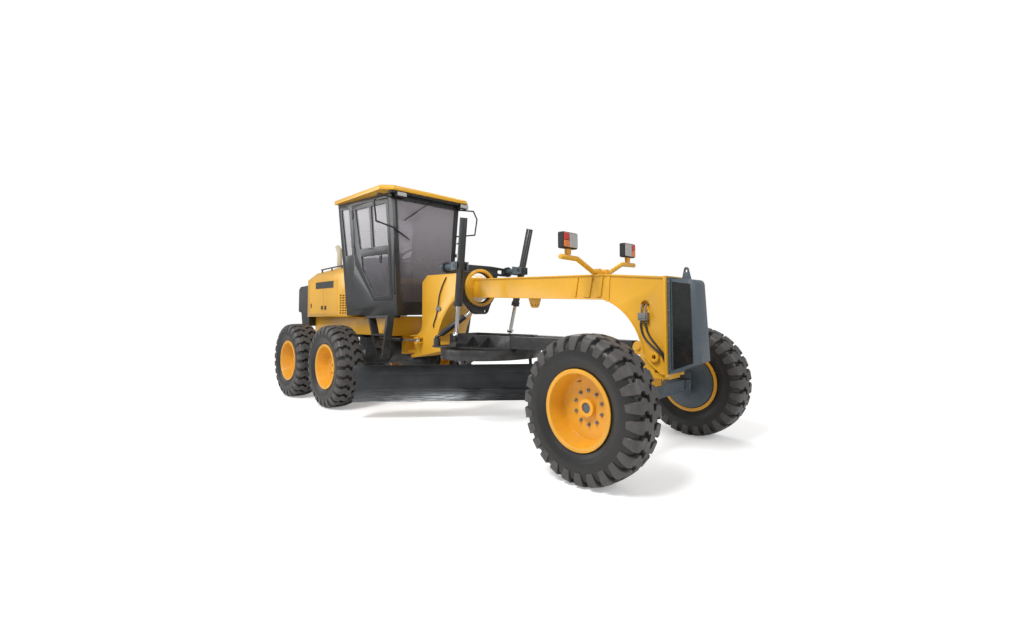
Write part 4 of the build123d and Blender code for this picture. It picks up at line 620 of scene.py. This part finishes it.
wiper_lines = [*wiper((1738, 60, 3240), (1728, -390, 2900), 12), *wiper((1722, -640, 2760), (1722, -330, 2600), 8)]
bars("wiper_arms", "chassis", wiper_lines[0::2], 6 * mm, moulded, 8)
bars("wiper_blades", "chassis", wiper_lines[1::2], 9 * mm, tyre_rubber, 8)
for side, hand in (("right", -1), ("left", 1)):
    rail_x, rail_y = 1722, hand * 600
    grab = [at(rail_x, rail_y - hand * 30, 2620), at(rail_x + 45, rail_y, 2590), at(rail_x + 40, rail_y, 2200)]
    grab += [at(rail_x + 30, rail_y - hand * 12, 1780), at(rail_x, rail_y - hand * 40, 1750)]
    bars(f"grab_rail_{side}", "chassis", [grab], 13 * mm, black)
    glass_knob = [brick(at(1726, hand * 520, 2380), at(1748, hand * 556, 2440))]
    prisms(f"glass_stop_{side}", "chassis", glass_knob, moulded, 4 * mm)
    low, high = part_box(f"cab_door_{side}")
    face_y = high[1] if hand > 0 else low[1]
    pull = [brick(at(1500, face_y / mm - hand * 40, 2210), at(1560, face_y / mm - hand * 22, 2330))]
    prisms(f"door_pull_{side}", f"door_{side}", pull, moulded, 6 * mm)

# ---------------------------------------------------------------- operator's seat
# Foam pads under woven cloth on a steel pedestal: a crowned cushion and a curved back, each
# with sewn channels and a piped seam round its edge.
seat_low, seat_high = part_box("driver_seat")
seat_x, seat_floor, seat_top = seat_low[0], seat_low[2], seat_high[2]


def pad(centre, half, lean, channels):
    """Rounded cushion: x = a c(u) c(v), y = b c(u) s(v), z = h s(u) with every sine and
    cosine raised to a small power; shallow troughs run across it and it leans back."""
    u = np.linspace(-math.pi / 2, math.pi / 2, 40)[:, None]
    v = np.linspace(0, 2 * math.pi, 96, endpoint=False)[None, :]
    power = lambda value, sharp: np.sign(value) * np.abs(value) ** sharp
    x = half[0] * power(np.cos(u), 0.45) * power(np.cos(v), 0.32)
    y = half[1] * power(np.cos(u), 0.45) * power(np.sin(v), 0.32)
    z = half[2] * power(np.sin(u), 0.75) * np.ones_like(v)
    crown = 1.0 - 0.22 * (x / half[0]) ** 2 - 0.22 * (y / half[1]) ** 2
    trough = 1.0 - 0.07 * np.cos(x / half[0] * math.pi * channels) ** 8
    z = z * crown * trough
    turn_x, turn_z = math.cos(lean), math.sin(lean)
    return np.stack((centre[0] + x * turn_x - z * turn_z, centre[1] + y, centre[2] + x * turn_z + z * turn_x), -1)


def piping(centre, half, lean):
    """Welt cord sewn round a pad at its middle height, on the same rounded outline."""
    v = np.linspace(0, 2 * math.pi, 72, endpoint=False)
    x = half[0] * np.sign(np.cos(v)) * np.abs(np.cos(v)) ** 0.32
    y = half[1] * np.sign(np.sin(v)) * np.abs(np.sin(v)) ** 0.32
    path = np.stack((centre[0] + x * math.cos(lean), centre[1] + y, centre[2] + x * math.sin(lean)), -1)
    along = np.roll(path, -1, 0) - np.roll(path, 1, 0)
    along /= np.linalg.norm(along, axis=1, keepdims=True)
    up = np.array((-math.sin(lean), 0, math.cos(lean)))
    turn = np.linspace(0, 2 * math.pi, 8, endpoint=False)[None, :, None]
    return path[:, None] + 4 * mm * (np.cos(turn) * up + np.sin(turn) * np.cross(along, up)[:, None])


cushion_centre = (seat_x + 275 * mm, 0, seat_floor + 400 * mm)
cushion_half = (232 * mm, 240 * mm, 78 * mm)
cushion_lean = math.radians(4)
cushion = shell("seat_cushion", "chassis", [(pad(cushion_centre, cushion_half, cushion_lean, 2.5), "m", True, 0, 0.0)], [seat_cloth])
back_tall = (seat_top - seat_floor - 450 * mm) / 2
back_centre = (seat_x + 72 * mm, 0, seat_top - back_tall)
back_half = (back_tall * 0.97, 225 * mm, 62 * mm)
back_lean = math.radians(98)
backrest = shell("seat_back", "chassis", [(pad(back_centre, back_half, back_lean, 3.5), "m", True, 0, 0.0)], [seat_cloth])
welts = [(piping(cushion_centre, cushion_half, cushion_lean), "nm", True, 0, 0.0)]
welts.append((piping(back_centre, back_half, back_lean), "nm", True, 0, 0.0))
shell("seat_piping", "chassis", welts, [moulded])
base = [brick((seat_x + 60 * mm, -0.17, seat_floor), (seat_x + 420 * mm, 0.17, seat_floor + 40 * mm))]
base.append(brick((seat_x + 120 * mm, -0.12, seat_floor + 40 * mm), (seat_x + 360 * mm, 0.12, seat_floor + 290 * mm)))
base.append(brick((seat_x + 40 * mm, -0.20, seat_floor + 290 * mm), (seat_x + 440 * mm, 0.20, seat_floor + 326 * mm)))
seat_base = prisms("seat_base", "chassis", base, moulded, 8 * mm)
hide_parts("driver_seat")
lever_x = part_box("steering_console")[1][0]
levers = []
for y in (-190, -160, -130, 130, 160, 190):
    levers.append([(lever_x - 60 * mm, y * mm, seat_floor + 560 * mm), (lever_x - 110 * mm, y * mm * 1.15, seat_floor + 830 * mm)])
bars("control_levers", "chassis", levers, 6 * mm, zinc, 8)
knobs = [(turned(np.array([(-22, 0), (-18, 9), (0, 14), (14, 12), (22, 0)]) * mm, np.array([end for _, end in levers]), (0, 0, 1), 14), "m", True, 0, 0.0)]
shell("lever_knobs", "chassis", knobs, [moulded])

# ---------------------------------------------------------------- front frame trim
# Pressed ribs welded over the beam's joints, a valve block with its steel pipes below the
# pipe hole, and a pipe clamp. Painted or plated, and bolted to the frame.
beam_side = 126
for side, hand in (("right", -1), ("left", 1)):
    skin = hand * beam_side
    ribs = []
    for top, low, wide in ((4942, 4880, 34), (5142, 5068, 46), (5290, 5238, 30)):
        foot = [at(low - wide, skin, 1612), at(low + wide, skin, 1612), at(top + wide * 0.4, skin, 1836), at(top - wide * 0.4, skin, 1836)]
        ribs.append((foot, (0, hand * 13 * mm, 0)))
    ribs.append((at([5330, 5372, 5392, 5350], skin, [1560, 1560, 1832, 1832]), (0, hand * 9 * mm, 0)))
    prisms(f"beam_ribs_{side}", "front_frame", ribs, yellow, 5 * mm)
    block_y = hand * 128
    valve = [brick(at(5752, block_y - hand * 4, 1362), at(5862, block_y + hand * 44, 1440))]
    valve.append(brick(at(5766, block_y + hand * 40, 1382), at(5848, block_y + hand * 56, 1424)))
    prisms(f"valve_block_{side}", "front_frame", valve, zinc, 4 * mm)
    upper, lower = [], []
    for x in (5785, 5832):
        upper.append([at(x + 6, block_y - hand * 36, 1520), at(x + 4, block_y + hand * 10, 1515), at(x, block_y + hand * 22, 1485), at(x, block_y + hand * 22, 1430)])
    lower.append([at(5782, block_y + hand * 20, 1370), at(5776, block_y + hand * 24, 1300), at(5812, block_y + hand * 26, 1200), at(5900, block_y + hand * 24, 1110), at(6000, block_y + hand * 14, 1030), at(6028, block_y + hand * 2, 960)])
    lower.append([at(5836, block_y + hand * 20, 1370), at(5832, block_y + hand * 24, 1310), at(5872, block_y + hand * 26, 1215), at(5960, block_y + hand * 24, 1110), at(6030, block_y + hand * 12, 1020), at(6040, block_y + hand * 2, 940)])
    bars(f"valve_pipes_{side}", "front_frame", upper, 9 * mm, zinc, 10)
    bars(f"brake_pipes_{side}", "front_frame", lower, 11 * mm, black, 10)
    caps = turned(np.array([(0, 24), (6, 24), (6, 15), (18, 15), (22, 9), (22, 0)]) * mm, at([5921], hand * 160, [1002]), (0, hand, 0), 6)
    unions = turned(np.array([(0, 14), (10, 14), (10, 9), (24, 9), (24, 0)]) * mm, at([5782, 5836], [block_y + hand * 20] * 2, [1340, 1340]), (0, 0, 1), 6)
    shell(f"pipe_unions_{side}", "front_frame", [(unions, "m", False, 0, 0.0)], [zinc])
    hinge_side = hand * 250
    clip = [brick(at(2360, hinge_side - hand * 2, 1480), at(2470, hinge_side + hand * 22, 1530))]
    clip.append(brick(at(2385, hinge_side, 1530), at(2430, hinge_side + hand * 16, 1560)))
    prisms(f"pipe_clamp_{side}", "front_frame", clip, zinc, 5 * mm)
    hose_y = hinge_side + hand * 12
    line = [at(2600, hose_y - hand * 6, 1960), at(2520, hose_y, 1850), at(2440, hose_y, 1700), at(2410, hose_y, 1550)]
    line += [at(2360, hose_y, 1400), at(2300, hose_y, 1290), at(2290, hose_y - hand * 6, 1230)]
    bars(f"side_pipe_{side}", "front_frame", [line], 9 * mm, black, 10)

# ---------------------------------------------------------------- nose panels
# The nose weight has a black cover plate on each side; only the
# front strip keeps the slate enamel. Plates are screwed on.
nose_low_box, nose_high_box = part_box("nose_cover")
for side, hand in (("right", -1), ("left", 1)):
    skin = hand * 120
    panel = at([6112, 6318, 6300, 6112], skin - hand * 2, [888, 966, 1712, 1740])
    prisms(f"nose_panel_{side}", "front_frame", [(panel, (0, hand * 6 * mm, 0))], gloss_black, 3 * mm)
    heads = turned(np.array([(0, 7), (5, 7), (7, 4), (7, 0)]) * mm, at([6086] * 7, hand * 148, np.linspace(900, 1740, 7)), (0, hand, 0), 6)
    shell(f"nose_bolts_{side}", "front_frame", [(heads, "m", False, 0, 0.0)], [zinc])


# ---------------------------------------------------------------- tie rod collars
# A turned collar at each end of the tie rod joins the bar to its ring. Both taper towards
# the bar and take the same enamel as the rod.
collar = np.array([(0, 19), (6, 24), (60, 24), (65.5, 17), (65.5, 0)]) * mm
for side, hand in (("right", -1), ("left", 1)):
    sleeve = turned(collar, at([5550], [hand * 700], [612]), (0, hand, 0), 24)
    shell(f"tie_rod_collar_{side}", "tie_rod", [(sleeve, "m", False, 0, 0.0)], [link_steel])

# ---------------------------------------------------------------- headlamps
# Moulded black cases on yellow brackets, each with a clear main lens and an orange and a red
# lens beside it.
lamp_low, lamp_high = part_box("headlamps")
case_x0, case_x1 = lamp_low[0], lamp_high[0] - 6 * mm
lamp_cases, clear_lenses, amber_lenses, red_lenses, lamp_feet = [], [], [], [], []
case_half, case_top = 118 * mm, lamp_high[2]
case_low = case_top - 170 * mm
lamp_middles = (lamp_low[1] + case_half, lamp_high[1] - case_half)
for y in lamp_middles:
    lamp_cases.append(brick((case_x0, y - case_half, case_low), (case_x1 - 10 * mm, y + case_half, case_top)))
    outer = -1 if y < 0 else 1
    split = y + outer * 25 * mm
    clear_lenses.append(brick((case_x1 - 14 * mm, split, case_low + 12 * mm), (case_x1, y - outer * (case_half - 12 * mm), case_top - 12 * mm)))
    red_lenses.append(brick((case_x1 - 14 * mm, split + outer * 4 * mm, case_top - 84 * mm), (case_x1, y + outer * (case_half - 12 * mm), case_top - 12 * mm)))
    amber_lenses.append(brick((case_x1 - 14 * mm, split + outer * 4 * mm, case_low + 12 * mm), (case_x1, y + outer * (case_half - 12 * mm), case_top - 88 * mm)))
    lamp_feet.append(brick((case_x0 + 20 * mm, y - 34 * mm, lamp_low[2] + 1 * mm), (case_x1 - 30 * mm, y + 34 * mm, case_low + 4 * mm)))
cases = prisms("lamp_cases", "front_frame", lamp_cases, moulded, 14 * mm, 3)
prisms("lamp_lenses", "front_frame", clear_lenses, reflector, 5 * mm)
prisms("turn_lenses", "front_frame", amber_lenses, amber, 5 * mm)
prisms("stop_lenses", "front_frame", red_lenses, signal_red, 5 * mm)
prisms("lamp_feet", "front_frame", lamp_feet, orange, 6 * mm)
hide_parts("headlamps")
node_finish = {}
for words, finish in (
    ("engine_hood cab_roof front_frame lamp_bar rear_frame", yellow),
    ("exhaust_stack", cream),
    ("cab_shell cab_door_left cab_door_right", charcoal),
    ("rear_axle radiator_guard cab_ladders lift_saddle drawbar circle blade_carrier", black),
    ("lift_barrel_left lift_barrel_right circle_shift_barrel articulation_barrel_left articulation_barrel_right", black),
    ("nose_cover lift_yokes front_axle lean_knuckle_left lean_knuckle_right stub_axle_left stub_axle_right", slate),
    ("lean_bar tie_rod tie_rod_joint", link_steel),
    ("lift_rod_left lift_rod_right circle_shift_rod articulation_rod_left articulation_rod_right", chrome),
    ("moldboard", blade_steel),
    ("engine_block", iron),
    ("cab_glass door_glass_left door_glass_right", cab_tint),
    ("driver_seat", seat_cloth),
    ("steering_console cab_mirrors", moulded),
    ("headlamps", orange),
):
    for node in words.split():
        node_finish[node] = finish
for place in ("front", "middle", "rear"):
    for side in ("left", "right"):
        node_finish[f"tyre_{place}_{side}"] = tyre_rubber
        node_finish[f"rim_{place}_{side}"] = orange


def soften(body, width=0.003, turn=30.0):
    """Welded plate has dressed edges: joins a solid's triangles and rounds its corners."""
    for polygon in body.data.polygons:
        polygon.use_smooth = True
    weld = body.modifiers.new("weld", "WELD")
    weld.merge_threshold = 0.00002
    flat = body.modifiers.new("flat", "DECIMATE")
    flat.decimate_type = "DISSOLVE"
    flat.angle_limit = math.radians(0.6)
    edge = body.modifiers.new("edge", "BEVEL")
    edge.width = width
    edge.segments = 2
    edge.limit_method = "ANGLE"
    edge.angle_limit = math.radians(turn)
    edge.harden_normals = True


for name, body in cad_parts.items():
    body.data.materials.clear()
    body.data.materials.append(node_finish[name])
    if "glass" not in name:
        soften(body)
